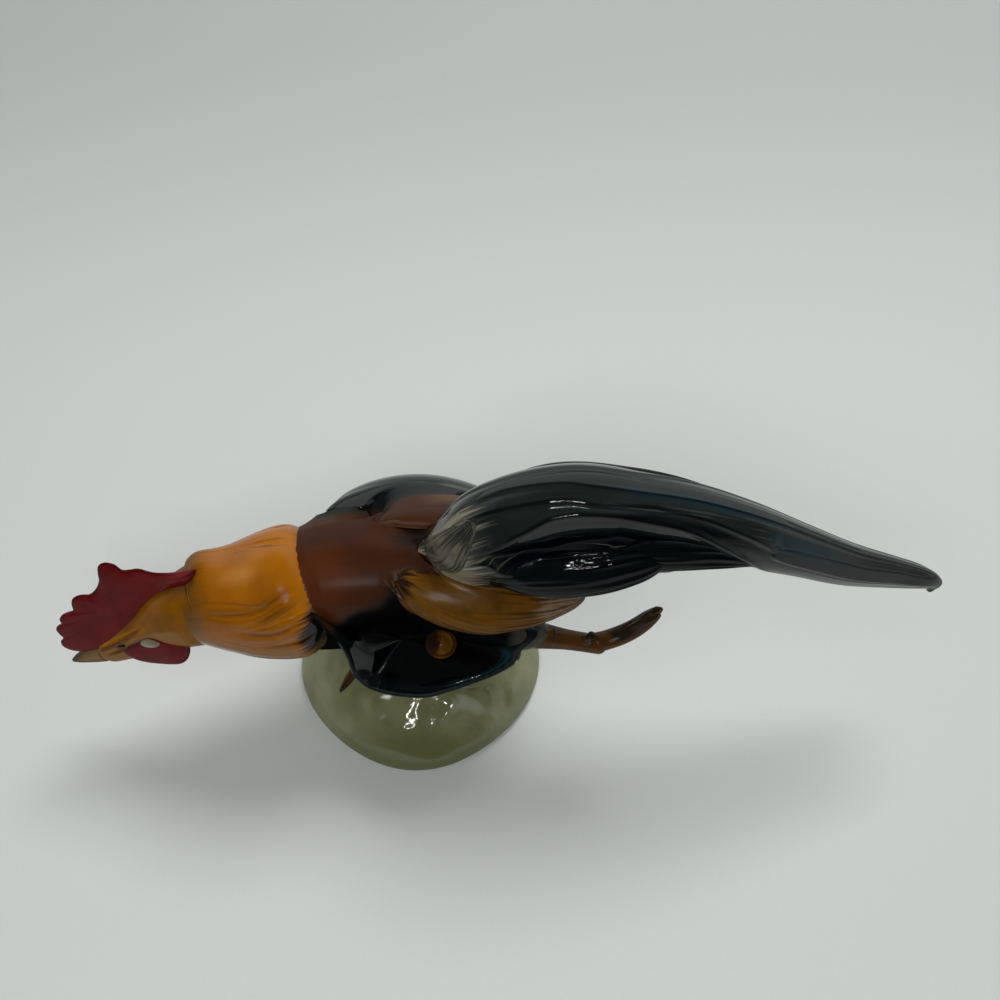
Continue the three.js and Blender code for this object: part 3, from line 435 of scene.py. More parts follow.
def underglaze(name, ground, second, thin, pooled, layers=(), brush=(16, 1.1), strokes=0.5, cloud=14,
               thinning=0.8, gathering=0.75, gloss=0.05, coat=1.0):
    """Hand-painted underglaze colour beneath clear gloss glaze on porcelain. The ground colour drifts to the
    second one in soft clouds, as a fired wash does, and in brush strokes along the form. Glaze runs thin and
    paler on sharp edges and gathers darker in grooves. Each of the layers is (mark, colour, raggedness): a
    colour laid where the mesh's mark says, its border broken up by the strokes. brush is a stroke's length
    and width in mm, cloud the size of a cloud in mm. The mark dull is where the clear glaze is thin."""
    material = bpy.data.materials.new(name)
    material.use_nodes = True
    tree = material.node_tree
    tree.nodes.clear()
    place = add(tree, "TexCoord").outputs["Object"]
    lay = add(tree, "UVMap", uv_map="lay").outputs["UV"]
    stretched = add(tree, "Mapping", {"Vector": lay, "Scale": (1 / brush[0], 1 / brush[1], 1)}).outputs[0]
    streak = add(tree, "TexNoise", {"Vector": stretched, "Scale": 1.0, "Detail": 5.0, "Roughness": 0.6,
                                    "Distortion": 0.4}).outputs[0]
    drift = add(tree, "TexNoise", {"Vector": place, "Scale": 1 / (cloud * MM), "Detail": 3.0}).outputs[0]
    blend = add(tree, "MapRange", {0: drift, 1: 0.35, 2: 0.68, 3: 0.0, 4: 1.0}).outputs[0]
    stroke = add(tree, "MapRange", {0: streak, 1: 0.42, 2: 0.66, 3: 0.0, 4: strokes}).outputs[0]
    either = add(tree, "Math", {0: blend, 1: stroke}, operation="MAXIMUM").outputs[0]
    colour = add(tree, "Mix", {0: either, 6: linear(ground), 7: linear(second)}, data_type="RGBA").outputs[2]
    for mark, paint, ragged in layers:
        amount = add(tree, "Attribute", attribute_name=mark).outputs["Fac"]
        torn = add(tree, "Math", {0: streak, 1: 0.5}, operation="SUBTRACT").outputs[0]
        torn = add(tree, "Math", {0: torn, 1: 4 * ragged, 2: amount}, operation="MULTIPLY_ADD").outputs[0]
        cover = add(tree, "MapRange", {0: torn, 1: 0.5 - 0.5 * (1 - ragged), 2: 0.5 + 0.5 * (1 - ragged)},
                    interpolation_type="SMOOTHSTEP").outputs[0]
        colour = add(tree, "Mix", {0: cover, 6: colour, 7: linear(paint)}, data_type="RGBA").outputs[2]
    for mark, paint, most in (("pool", pooled, gathering), ("crest", thin, thinning)):
        amount = add(tree, "Attribute", attribute_name=mark).outputs["Fac"]
        cover = add(tree, "Math", {0: amount, 1: most}, operation="MULTIPLY").outputs[0]
        colour = add(tree, "Mix", {0: cover, 6: colour, 7: linear(paint)}, data_type="RGBA").outputs[2]
    # Orange peel of a poured glaze, about 3 mm from crest to crest
    peel = add(tree, "TexNoise", {"Vector": place, "Scale": 1 / (3 * MM), "Detail": 1.5}).outputs[0]
    bump = add(tree, "Bump", {"Height": peel, "Strength": 0.06, "Distance": 0.4 * MM}).outputs[0]
    dull = add(tree, "Attribute", attribute_name="dull").outputs["Fac"]
    glazed = add(tree, "Math", {0: dull, 1: -0.93 * coat, 2: coat}, operation="MULTIPLY_ADD").outputs[0]
    shader = add(tree, "BsdfPrincipled", {
        "Base Color": colour, "Roughness": 0.6, "IOR": 1.5, "Specular IOR Level": 0.0, "Coat Weight": glazed,
        "Coat Roughness": gloss, "Coat IOR": 1.52, "Normal": bump, "Coat Normal": bump,
    })
    add(tree, "OutputMaterial", {0: shader.outputs[0]})
    return material


# Celadon, an iron-green glaze poured over the mound: cloudy, pale on the crests and olive in the creases,
# with the sharpest gloss of all
CELADON = underglaze("celadon_glaze", "#80835f", "#6e7150", "#a5a88e", "#474b30", cloud=9, brush=(7, 5),
                     strokes=0.3, thinning=0.6, gathering=0.7, gloss=0.025,
                     layers=[("milk", "#999c84", 0.25), ("moss_and_painted_sheen", "#62663f", 0.1)])
# Chestnut iron wash on the trunk: a warm dark brown with a soft sheen, black towards the wing, and painted
# shade in the hollow beside the tail's root
CHESTNUT = underglaze("chestnut_glaze", "#40210f", "#331b10", "#5a3420", "#180c08", cloud=17, strokes=0.3,
                      thinning=0.3, gathering=0.15, gloss=0.36, coat=0.55,
                      layers=[("rust", "#50260f", 0.15), ("tawny", "#5a4432", 0.2), ("shade", "#050506", 0.1),
                              ("slate", "#1c2220", 0.12)])
# Amber wash on the cape, brushed along the hackles: golden, brown between them and black at their tips, with
# a painted pale reflection along the top of the neck
AMBER = underglaze("amber_glaze", "#a4620a", "#8b5006", "#a8701c", "#4a2a06", cloud=12, brush=(14, 1.0),
                   strokes=0.3, thinning=0.3, gathering=0.4, gloss=0.04, coat=0.7,
                   layers=[("nape", "#67400a", 0.1), ("breast", "#855a2c", 0.12), ("mantle_brown_and_shade", "#43230f", 0.25),
                           ("line", "#6b3d08", 0.05), ("tips", "#09090a", 0.4), ("painted_reflection", "#c08a4a", 0.05)])
# The same amber thinner on the head, over a flesh-coloured cheek
FACE = underglaze("amber_and_flesh_glaze", "#855204", "#6e4408", "#9a7020", "#4a2604", cloud=8, strokes=0.25,
                  thinning=0.3, gloss=0.15, coat=0.32,
                  layers=[("nape", "#67400a", 0.1), ("gold", "#a46808", 0.1), ("flesh", "#8a6030", 0.1),
                          ("cere", "#744426", 0.15)])
# Ochre on the saddle, brushed in long streaks that fray to a pale fringe
OCHRE = underglaze("ochre_glaze", "#6e4811", "#51350e", "#7a5a2c", "#281706", cloud=7, brush=(16, 1.0),
                   strokes=0.8, thinning=0.3, gloss=0.22, coat=0.32,
                   layers=[("fringe", "#866e5a", 0.35), ("mantle_brown_and_shade", "#24150d", 0.35)])
# Crimson enamel on comb and wattles: an even deep red with hardly a stroke in it
CRIMSON = underglaze("crimson_glaze", "#6c1416", "#580f12", "#7c262a", "#3c090b", cloud=7, strokes=0.12,
                     thinning=0.5, gloss=0.18, coat=0.3)
# Cobalt black on the wings: mirror-glossy, blue-green where the glaze lies thick, grey-green painted sheen on
# the upper faces, painted navy shade in the dish and a painted grey highlight along the lip
RAVEN = underglaze("raven_glaze", "#080c0d", "#0d1314", "#2c3435", "#020305", cloud=26, brush=(34, 1.4),
                   strokes=0.4, thinning=0.25, coat=0.75,
                   layers=[("navy_painted_shade", "#030406", 0.08), ("moss_and_painted_sheen", "#1d2522", 0.2), ("teal", "#0f2a30", 0.25),
                           ("straw", "#4c5044", 0.5), ("brown", "#28180f", 0.15), ("lip", "#3a4142", 0.2)])
# Straw-grey drawn with a dry brush over black at the root of the tail
STRAW = underglaze("straw_glaze", "#6b6653", "#3c3b33", "#7d7966", "#16181a", cloud=4, brush=(12, 0.45),
                   strokes=0.9, thinning=0.2, gloss=0.2, layers=[("raven", "#14191a", 0.5)])
# Tan on legs, toes and beak, slate above and golden below
TAN = underglaze("tan_glaze", "#633c12", "#4c3014", "#7a5220", "#2a1c0e", cloud=6, brush=(8, 0.8),
                 strokes=0.3, thinning=0.4, gloss=0.15, coat=0.45,
                 layers=[("slate", "#211d15", 0.2), ("gold", "#754c0e", 0.2), ("horn", "#8c6c46", 0.15)])
# Slate on the kicked-back thigh: a grey-green wash that runs out into the tan of the shank
SLATE = underglaze("slate_glaze", "#34332b", "#403d32", "#5c5a4e", "#1a1914", cloud=6, brush=(10, 0.9),
                   strokes=0.4, thinning=0.4, gloss=0.2, coat=0.45,
                   layers=[("tan", "#5c3c16", 0.2), ("raven", "#07090a", 0.1)])
# Bare white body under a warm clear glaze, on the earlobes
IVORY = underglaze("ivory_glaze", "#b3a88e", "#a1977f", "#c4bca6", "#6a6450", cloud=4, strokes=0.15)
# The wings' black on the tail, with a painted greenish sheen on the feather tops, painted navy shade in the
# hollow, painted grey highlight streaks along the flank and a dry-brushed root
PLUME = underglaze("plume_glaze", "#171c1b", "#1f2624", "#3a4241", "#030405", cloud=24, brush=(40, 1.2),
                   strokes=0.55, thinning=0.3, gathering=0.8, gloss=0.04, coat=0.8,
                   layers=[("navy_painted_shade", "#03060c", 0.08), ("moss_and_painted_sheen", "#1f2522", 0.2), ("teal", "#132a33", 0.3),
                           ("painted_highlight", "#4a5150", 0.6), ("straw", "#7d7866", 0.6), ("jet", "#050708", 0.1)])
# A drop of black enamel for each eye
JET = underglaze("jet_glaze", "#0a0a0c", "#101014", "#2c2c30", "#040406", cloud=4, strokes=0.1)


# The cast forms, before they are luted together

def flank_hollow(t, angle):
    """The trunk is drawn in behind the dropped wing."""
    return FLANK_HOLLOW * bell(t - 0.56, 0.3) * bell(off(angle, 180), 42)


body_form = Cast(
    root=on_trunk(-1, 0, 0), length=BODY_LENGTH, lift=BODY_DEPTH, sway=BODY_WIDTH, width=BODY_WIDTH,
    depth=BODY_DEPTH, blunt=(0.22, 0.2), press=flank_hollow,
    stations=[
        [0, -0.05, 0.02, 0.75, 0.75], [0.18, -0.03, 0, 0.9, 0.95], [0.38, 0, 0, 1, 1],
        [0.58, 0, 0.02, 0.97, 0.97], [0.78, 0, 0.06, 0.75, 0.78], [1, 0, 0.12, 0.42, 0.46],
    ])
neck_form = Cast(
    root=on_trunk(-0.36, -0.02, 0.2), length=NECK_LENGTH, sway=NECK_WIDTH, lift=NECK_DEPTH, width=NECK_WIDTH,
    depth=NECK_DEPTH, along=-X, blunt=(0.24, 0.1),
    stations=[
        [0, 0, 0, 0.92, 0.92], [0.27, -0.05, -0.03, 1, 1], [0.5, -0.09, -0.05, 0.94, 0.95],
        [0.7, -0.12, -0.05, 0.8, 0.83], [0.88, -0.14, -0.06, 0.65, 0.68], [1, -0.16, -0.07, 0.55, 0.57],
    ])
head_form = Cast(
    root=neck_form.path[-1] + [0.22 * HEAD_LENGTH, 0.05 * HEAD_WIDTH, 0.06 * HEAD_DROP],
    length=HEAD_LENGTH, sway=HEAD_WIDTH, lift=HEAD_DROP, width=HEAD_WIDTH, depth=HEAD_DEPTH, along=-X,
    blunt=(0.02, 0.12),
    stations=[
        [0, 0, 0, 1, 0.96, -HEAD_ROLL], [0.28, -0.1, -0.21, 0.8, 0.82, -HEAD_ROLL],
        [0.53, -0.19, -0.5, 0.51, 0.6, -HEAD_ROLL], [0.78, -0.27, -0.77, 0.37, 0.43, -HEAD_ROLL],
        [1, -0.33, -0.97, 0.26, 0.3, -HEAD_ROLL],
    ])
beak_form = Cast(
    root=head_form.path[-1] + np.array([0.2, 0.03, 0.08]) * BEAK_LENGTH, length=BEAK_LENGTH,
    width=BEAK_WIDTH, depth=BEAK_DEPTH, along=-X, blunt=(0.1, 0.06),
    stations=[
        [0, 0, 0, 1, 1, -HEAD_ROLL], [0.4, -0.04, -0.13, 0.76, 0.8, -HEAD_ROLL],
        [0.75, -0.08, -0.28, 0.44, 0.5, -HEAD_ROLL], [1, -0.1, -0.42, 0.12, 0.14, -HEAD_ROLL],
    ])
right_wing_form = Cast(
    root=on_trunk(-0.5, 0.84, 0.2), length=WING_LENGTH, sway=RIGHT_WING_WIDTH, lift=RIGHT_WING_DEPTH,
    width=RIGHT_WING_WIDTH, depth=RIGHT_WING_DEPTH, blunt=(0.1, 0.12),
    stations=[
        [0, 0.1, 0.05, 0.2, 0.3, -30], [0.14, 0.24, 0, 0.7, 0.75, -28], [0.34, 0.32, -0.03, 0.95, 1, -26],
        [0.56, 0.28, -0.05, 1, 1, -26], [0.78, 0.14, -0.12, 0.8, 0.8, -28],
        [1, -0.06, -0.25, 0.25, 0.35, -30],
    ])


def saddle_form(side):
    """A lappet that swings out over the flank. side is -1 for the bird's left and 1 for its right."""
    return Cast(
        root=on_trunk(0, -0.33, 0.87) if side < 0 else on_trunk(-0.14, 0.55, 0.8),
        length=SADDLE_LENGTH, sway=side * SADDLE_WIDTH, lift=SADDLE_DEPTH, width=SADDLE_WIDTH,
        depth=SADDLE_DEPTH, blunt=(0.06, 0.08),
        stations=[
            [0, 0, 0, 0.2, 0.3, side * -25], [0.18, 0.19, -0.3, 0.85, 0.95, side * -32],
            [0.42, 0.34, -0.6, 1, 1, side * -38], [0.62, 0.3, -0.8, 0.85, 0.9, side * -36],
            [0.82, 0.14, -1.15, 0.55, 0.65, side * -30], [1, -0.06, -1.5, 0.18, 0.3, side * -25],
        ])


left_saddle_form, right_saddle_form = saddle_form(-1), saddle_form(1)

TAIL_ROOT = on_trunk(0.18, 0, 1.1)

# Borders of the hollow in the plume's near flank, as rows of (t, angle)
HOLLOW_TOP = [(0, 150), (0.134, 148), (0.217, 136), (0.257, 126), (0.3, 124), (0.376, 127), (0.454, 139),
              (0.539, 172), (0.6, 208), (0.7, 222), (1, 225)]
HOLLOW_FOOT = [(0, 160), (0.134, 158), (0.16, 180), (0.2, 203), (0.25, 222), (0.322, 212), (0.336, 204),
               (0.379, 214), (0.426, 226), (0.6, 240), (1, 240)]
HOLLOW_DEPTH = 5.8


def plume_hollow(t, angle):
    """The near flank is hollow between its two borders, deepest midway: depth * cos(quarter turns)^1.4. A
    rounded lobe swells out below its rear end."""
    top, foot = course(HOLLOW_TOP, t), course(HOLLOW_FOOT, t)
    s = np.clip(off(angle, (top + foot) / 2) / np.maximum((foot - top) / 2, 1), -1, 1)
    lobe = 2.2 * bell(t - 0.44, 0.05) * bell(off(angle, 222), 20)
    return HOLLOW_DEPTH * np.cos(np.pi / 2 * s) ** 1.4 * window(t, 0.1, 0.62, 0.12) - lobe


plume_form = Cast(
    root=TAIL_ROOT, length=TAIL_LENGTH, sway=TAIL_WIDTH, lift=TAIL_RISE, width=TAIL_WIDTH, depth=TAIL_DEPTH,
    blunt=(0.05, 0.02), press=plume_hollow,
    stations=[
        [0, 0, -0.1, 0.3, 0.3], [0.075, 0.04, 0.05, 0.8, 0.76], [0.17, 0.06, 0.5, 0.98, 1.06],
        [0.27, 0.08, 0.9, 1, 1], [0.375, 0.06, 0.86, 0.92, 0.9], [0.475, 0.04, 0.78, 0.78, 0.73],
        [0.58, 0, 0.5, 0.62, 0.6], [0.685, -0.02, -0.03, 0.5, 0.5], [0.79, -0.02, -0.65, 0.4, 0.44],
        [0.89, 0, -1.1, 0.28, 0.36], [0.96, 0, -1.35, 0.2, 0.24], [1, 0, -TAIL_FALL / TAIL_RISE, 0.1, 0.1],
    ])


def on_tail(along, aside, up):
    """A point over the tail's root, given as shares of the tail's length, width and rise."""
    return TAIL_ROOT + np.array([along * TAIL_LENGTH, aside * TAIL_WIDTH, up * TAIL_RISE])


def covert_form(side):
    """A broad leaf laid against the plume's flank near its root."""
    return Cast(
        root=on_tail(0.11, side * 0.3, 0), length=COVERT_LENGTH, sway=side * TAIL_WIDTH, lift=TAIL_RISE,
        width=COVERT_WIDTH, depth=FEATHER_THICKNESS, blunt=(0.06, 0.08),
        stations=[
            [0, 0, 0, 0.3, 0.5, side * -58], [0.25, 0.08, 0.16, 0.85, 1, side * -58],
            [0.55, 0.11, 0.36, 1, 1, side * -55], [0.82, 0.04, 0.5, 0.8, 0.9, side * -52],
            [1, -0.03, 0.6, 0.3, 0.5, side * -50],
        ])


def sickle_form(side):
    """A narrow leaf that hangs down over the plume's flank."""
    return Cast(
        root=on_tail(0.32, side * 0.2, 0.6), length=SICKLE_LENGTH, sway=side * TAIL_WIDTH, lift=TAIL_RISE,
        width=SICKLE_WIDTH, depth=FEATHER_THICKNESS, blunt=(0.06, 0.08),
        stations=[
            [0, 0, 0, 0.4, 0.5, side * -60], [0.35, 0.04, 0.02, 1, 1, side * -55],
            [0.7, 0.02, -0.12, 0.8, 0.8, side * -50], [1, 0, -0.5, 0.2, 0.3, side * -50],
        ])


upper_sickle_form = Cast(
    root=on_tail(0.11, 0.3, 0.3), length=UPPER_SICKLE_LENGTH, sway=TAIL_WIDTH, lift=TAIL_RISE,
    width=UPPER_SICKLE_WIDTH, depth=UPPER_SICKLE_THICKNESS, blunt=(0.06, 0.08),
    stations=[
        [0, 0, 0, 0.4, 0.5, 60], [0.25, 0.08, 0.62, 1, 1, 50], [0.55, 0.08, 0.62, 1, 1, 48],
        [0.82, 0.04, 0.4, 0.8, 0.8, 50], [1, 0, 0.15, 0.3, 0.4, 55],
    ])
tuft_form = Cast(
    path=[plume_form.point(t, 150 - 260 * t) for t in (0.012, 0.05, 0.1, 0.15)],
    width=TUFT_WIDTH, depth=0.6 * FEATHER_THICKNESS, blunt=(0.2, 0.08),
    stations=[[0, 0, 0, 0.7, 0.8, 62], [0, 0, 0, 1, 1, 55], [0, 0, 0, 0.8, 0.9, 45], [0, 0, 0, 0.3, 0.5, 35]])


def limb(start, end, diameter, root_share=1.15, middle=0.92):
    """A straight bone from start to end, its girth at the root and midway given as shares of the diameter."""
    along = end - start
    length = np.linalg.norm(along)
    along = along / length
    level = np.cross(Z, along)
    aside = unit(level) if np.linalg.norm(level) > 0.2 else Y
    return Cast(
        root=start, length=length, width=diameter, along=along, aside=aside, up=-np.cross(along, aside),
        blunt=(0.1, 0.1),
        stations=[[0, 0, 0, root_share, root_share], [0.5, 0, 0, middle, middle], [1, 0, 0, 1, 1]])


def toe_form(start, bearing, length, rise, full=1.0):
    """A toe along the ground, or curled: rise(x, y, share) gives its height. Its girth falls from the full
    one by shares that grow with the square of the way along it."""
    heading = np.array([math.cos(math.radians(bearing)), math.sin(math.radians(bearing)), 0])
    stations = []
    for share in (0, 0.3, 0.65, 1):
        place = start + share * length * heading
        stations.append([share, 0, (rise(place[0], place[1], share) - start[2]) / length,
                         full * (1 - 0.55 * share**2), full * (1 - 0.5 * share**2)])
    return Cast(root=start, length=length, width=TOE_DIAMETER, along=heading, aside=np.cross(Z, heading),
                blunt=(0.15, 0.2), stations=stations)


def mound_radius(angle):
    """Outline of the mound: a circle with a slow three- and four-cornered wave and a stretch along X."""
    corners = MOUND_CORNER * (np.cos(3 * angle + math.radians(270)) + np.cos(4 * angle))
    return MOUND_RADIUS + corners + MOUND_STRETCH * np.cos(2 * angle)


# Pressed leaves and stones on the mound, as rows of [along, aside, reach, rise], the first three in shares
# of its radius and the rise in shares of the relief. The dips between them have a rise below 0.
LEAVES = [
    (0.34, -0.55, 0.13, 0.9), (0.61, -0.4, 0.12, 0.9), (0.68, -0.62, 0.13, 0.7), (0.44, -0.78, 0.14, 0.5),
    (0.86, -0.3, 0.11, 0.6), (0.9, 0.02, 0.14, 0.6), (0.5, -0.5, 0.09, -0.7), (0.76, -0.47, 0.08, -0.7),
    (-0.36, -0.5, 0.12, 0.8), (-0.26, -0.6, 0.07, -0.5), (-0.62, -0.3, 0.16, 0.5), (-0.8, 0.1, 0.15, 0.6),
    (-0.5, 0.3, 0.14, 0.8), (-0.62, 0.58, 0.14, 0.7), (-0.2, 0.62, 0.16, 0.9), (-0.14, 0.88, 0.12, 0.6),
    (0.16, 0.7, 0.13, 0.8), (0.45, 0.5, 0.15, 0.9), (0.5, 0.76, 0.13, 0.6), (0.72, 0.3, 0.14, 0.8),
]

# Small crumples between the leaves, as rows of (x, y, reach, rise) in mm
CRUMPLES = [
    (-6, -34.5, 9, 3.0), (-13, -21, 3.2, 0.9), (-9, -22.5, 2.2, -0.6), (-10.5, -17, 3, 0.6),
    (9, -25, 3.2, 0.9), (13, -19, 3.4, 1.0), (12, -29, 3.4, 0.7), (19, -20, 3.0, 0.9),
    (16.5, -24.5, 2.4, -0.8), (23, -14.5, 3.6, 1.0), (25.5, -22, 3.4, 0.9), (21.5, -17.5, 2.2, -0.8),
    (31.5, -11.5, 3.6, 0.8), (28, -16.5, 2.4, -0.7), (5, -21, 2.6, -0.6), (33, -3, 4, 0.6),
    (18, -30, 3, 0.6), (-20, -24, 4, 0.6), (-27, -14, 4, 0.5),
]


def mound_top(share, angle):
    """Height of the mound over its flat underside: a low dome, its height falling as (1 - share^2)^0.72, and
    the leaves as soft bumps e to the power -(distance / reach)^2."""
    dome = (MOUND_HEIGHT - MOUND_EDGE / 2) * np.maximum(0, 1 - share**2) ** 0.72
    x, y = share * np.cos(angle), share * np.sin(angle)
    leaves = sum(rise * bell(np.hypot(x - along, y - aside), reach) for along, aside, reach, rise in LEAVES)
    return MOUND_EDGE / 2 + dome + LEAF_RELIEF * leaves * (1 - share**8)


def mound_height(x, y):
    """Height of the leafy dome over one place, in mm."""
    angle = np.arctan2(y, x)
    flat = 1 - MOUND_BEVEL / MOUND_RADIUS
    return float(mound_top(min(flat, math.hypot(x, y) / mound_radius(angle)), angle))


standing_thigh_form = Cast(
    root=on_trunk(0.12, 0.3, -0.6), length=STANDING_THIGH_LENGTH, width=THIGH_WIDTH,
    along=unit(np.array([-0.25, -0.05, -1])), aside=Y, up=X, blunt=(0.2, 0.35),
    stations=[[0, 0, 0, 0.9, 1.05], [0.5, 0, 0, 0.8, 0.95], [1, 0, 0, 0.5, 0.6]])
knee = through(standing_thigh_form.path, np.array([0.8]))[0][0]
ankle = np.array([FOOT_X, FOOT_Y, mound_height(FOOT_X, FOOT_Y) + 0.5 * TOE_DIAMETER])
standing_shank_form = limb(knee, ankle, SHANK_DIAMETER)
trailing_thigh_form = Cast(
    root=on_trunk(0.1, -0.45, -0.2), length=TRAILING_THIGH_LENGTH, width=THIGH_WIDTH, blunt=(0.15, 0.22),
    stations=[[0, 0.08, 0, 0.8, 0.9], [0.35, 0.01, 0.02, 0.85, 1], [0.7, -0.07, 0.02, 0.78, 0.85],
              [1, -0.1, -0.01, 0.58, 0.6]])
hock = through(trailing_thigh_form.path, np.array([0.94]))[0][0]
drop = math.radians(TRAILING_SHANK_DROP)
heel = hock + TRAILING_SHANK_LENGTH * np.array([math.cos(drop), -0.03, -math.sin(drop)])
trailing_shank_form = limb(hock - 5 * X, heel, SHANK_DIAMETER, 1.56, 1.06)
spur_seat = through(trailing_shank_form.path, np.array([0.72]))[0][0]
spur_form = limb(spur_seat, spur_seat + SPUR_LENGTH * np.array([0.3, -0.08, 0.95]), SPUR_DIAMETER, 1.3)
standing_toe_forms = [
    toe_form(ankle, bearing, share * TOE_LENGTH,
             lambda x, y, share: mound_height(x, y) + TOE_DIAMETER * (0.42 - 0.24 * share))
    for bearing, share in ((228, 1.2), (186, 1.05), (146, 0.95), (20, 0.6))]


def curled(curl):
    """Height of a toe that drops from the heel and then curls up, as the 2.3rd power of the way along it."""
    return lambda x, y, share: heel[2] + 2 - 5 * share + TOE_LENGTH * (curl + 0.09) * share**2.3


trailing_toe_forms = [toe_form(heel + [-5, 0, 2.0], bearing, share * TOE_LENGTH + 5, curled(curl), 1.2)
                      for bearing, share, curl in ((9.5, 0.71, 0.74), (13, 0.74, 0.8), (16.5, 0.71, 0.76))]


# Base mound

def base_mound():
    """Rings from the middle of the underside out to the rim, round it as a quarter circle and back over the
    dome. A smooth grain crumples the pressed leaves, creases are cut where it crosses 0, and the vent is a
    well in the underside."""
    rings, across = 230, 400
    t = np.linspace(0, 1, rings)[:, None]
    angle = np.radians(np.linspace(270, 630, across, endpoint=False))[None, :]
    under, edge = 0.2, 0.28
    inner = 1 - MOUND_BEVEL / MOUND_RADIUS
    bend = np.clip((t - under) / (edge - under), 0, 1) * np.pi / 2
    over = np.clip((t - edge) / (1 - edge), 0, 1) * np.pi / 2
    share = np.where(t <= under, inner * t / under, inner + (1 - inner) * np.sin(bend))
    share = np.where(t > edge, np.cos(over), share)
    radius = mound_radius(angle)
    x, y = radius * share * np.cos(angle), radius * share * np.sin(angle)
    leafy = ramp(x, -4, 12) * bell(y + 17, 15)
    crumple = grain(x / 5.2 + 9, y / 4.6 + 9, 3) + 0.5 * grain(x / 2.7 + 5, y / 2.4 + 5, 4)
    crumple = crumple + 0 * t
    relief = (0.1 + 0.22 * leafy) * crumple
    crease = 1 - 1.6 * np.abs(grain(x / 7 + 3, y / 5.5 + 3, 5)) - 0.5 * np.abs(grain(x / 3 + 3, y / 3 + 3, 6))
    relief = relief - 0.5 * leafy * ramp(crease, 0.1, 1)
    relief += sum(rise * bell(np.hypot(x - east, y - north), reach) for east, north, reach, rise in CRUMPLES)
    relief = relief * (1 - share**8)
    rim = MOUND_EDGE / 2 * (1 - np.cos(bend)) + 0 * angle
    hole = np.hypot(x - VENT_OFFSET, y - 0.6 * VENT_OFFSET)
    well = VENT_DEPTH * (1 - ramp(hole, 0.4 * VENT_DIAMETER, 0.55 * VENT_DIAMETER))
    height = np.where(t > edge, mound_top(share, angle) + relief, rim)
    height = np.where(t <= under, well, height)
    marks = {"milk": 0.75 * leafy * ramp(relief, 0.1, 1.0) * (t > edge),
             # Darker olive laid towards the front rim
             "moss_and_painted_sheen": (0.5 + 0.5 * bell(y + 34, 9)) * ramp(-y, 18, 34) * (t > edge)}
    points = np.stack([x, y, height + 0 * x], -1)
    return settle(shell("mound", points, marks), "base_mound", CELADON)


base_mound()


# Trunk, neck and head

def trunk():
    """The trunk rises at the shoulders to meet the cape and dips beside the root of the tail."""
    def relief(t, angle):
        shoulders = 1.2 * bell(t - 0.33, 0.15) * bell(off(angle, 95), 60)
        furrow = -1.4 * bell(t - 0.62, 0.12) * bell(off(angle, 72), 14)
        feathers = 0.25 * grain(angle / 13, t * 3.2, 11) * window(t, 0.1, 1, 0.2)
        return shoulders + furrow + feathers
    luted = [(neck_form, 10), (right_wing_form, 13), (left_saddle_form, 5), (right_saddle_form, 6),
             (plume_form, 8), (trailing_thigh_form, 7), (standing_thigh_form, 8)]
    points, t, angle = body_form.skin(230, 300, relief, luted)
    x, y, z = np.moveaxis(points, -1, 0)
    left_flank = ramp(-y, 4, 10) * (1 - ramp(z - 0.56 * x + 2.5 * grain(x / 6, z / 6, 12), 71, 80))
    marks = {
        "dull": np.maximum(left_flank, 0.5),
        # Black of the wing carried over the flank beneath it, and painted shade in the hollow beside the
        # tail's root
        "shade": np.maximum(left_flank, 0.75 * bell(np.hypot(x - 4, y - 6), 8)),
        "slate": ramp(y, 13, 19) * window(x, -34, 34, 8),
        "rust": bell(np.hypot(x + 22, y + 8), 10),
        "tawny": 0.6 * bell(y - 12 - 0.08 * x, 3.5) * window(x, -12, 30, 12),
    }
    return settle(shell("trunk", points, marks), "body", CHESTNUT)


trunk()

# Hackle feathers of the cape: middle line as (t, angle) rows from the nape to the tip, half width in
# degrees and height in mm. The broad first one lies along the back of the neck.
HACKLES = [
    ([(0.85, 92), (0.5, 96), (0.33, 99), (0.2, 100), (0.08, 99)], 33, 0.9),
    ([(0.76, 138), (0.54, 143), (0.36, 138), (0.25, 131), (0.09, 120)], 8, 0.55),
    ([(0.72, 152), (0.54, 158), (0.36, 156), (0.2, 149), (0.06, 141)], 11, 0.55),
    ([(0.8, 172), (0.54, 180), (0.33, 181), (0.18, 178), (0.03, 172)], 14, 0.5),
    ([(0.8, 46), (0.5, 50), (0.33, 54), (0.2, 58), (0.08, 60)], 14, 0.45),
]
HACKLES += [([(0.75, a), (0.5, a + 2), (0.3, a + 3), (0.12, a + 2)], 15, 0.5) for a in range(208, 392, 30)]


# Painted grooves between the hackles: (t, angle) rows and where each starts and ends
GROOVES = [
    ([(0.7, 62), (0.58, 64), (0.33, 72), (0.17, 78), (0.1, 84)], 0.12, 0.5),
    ([(0.7, 134), (0.54, 135), (0.36, 131), (0.24, 122), (0.11, 112)], 0.1, 0.75),
    ([(0.66, 137), (0.44, 143), (0.26, 134), (0.13, 124)], 0.1, 0.5),
    ([(0.6, 152), (0.33, 154), (0.2, 149), (0.12, 148)], 0.08, 0.6),
    ([(0.6, 172), (0.33, 170), (0.2, 166), (0.1, 160)], 0.08, 0.5),
]


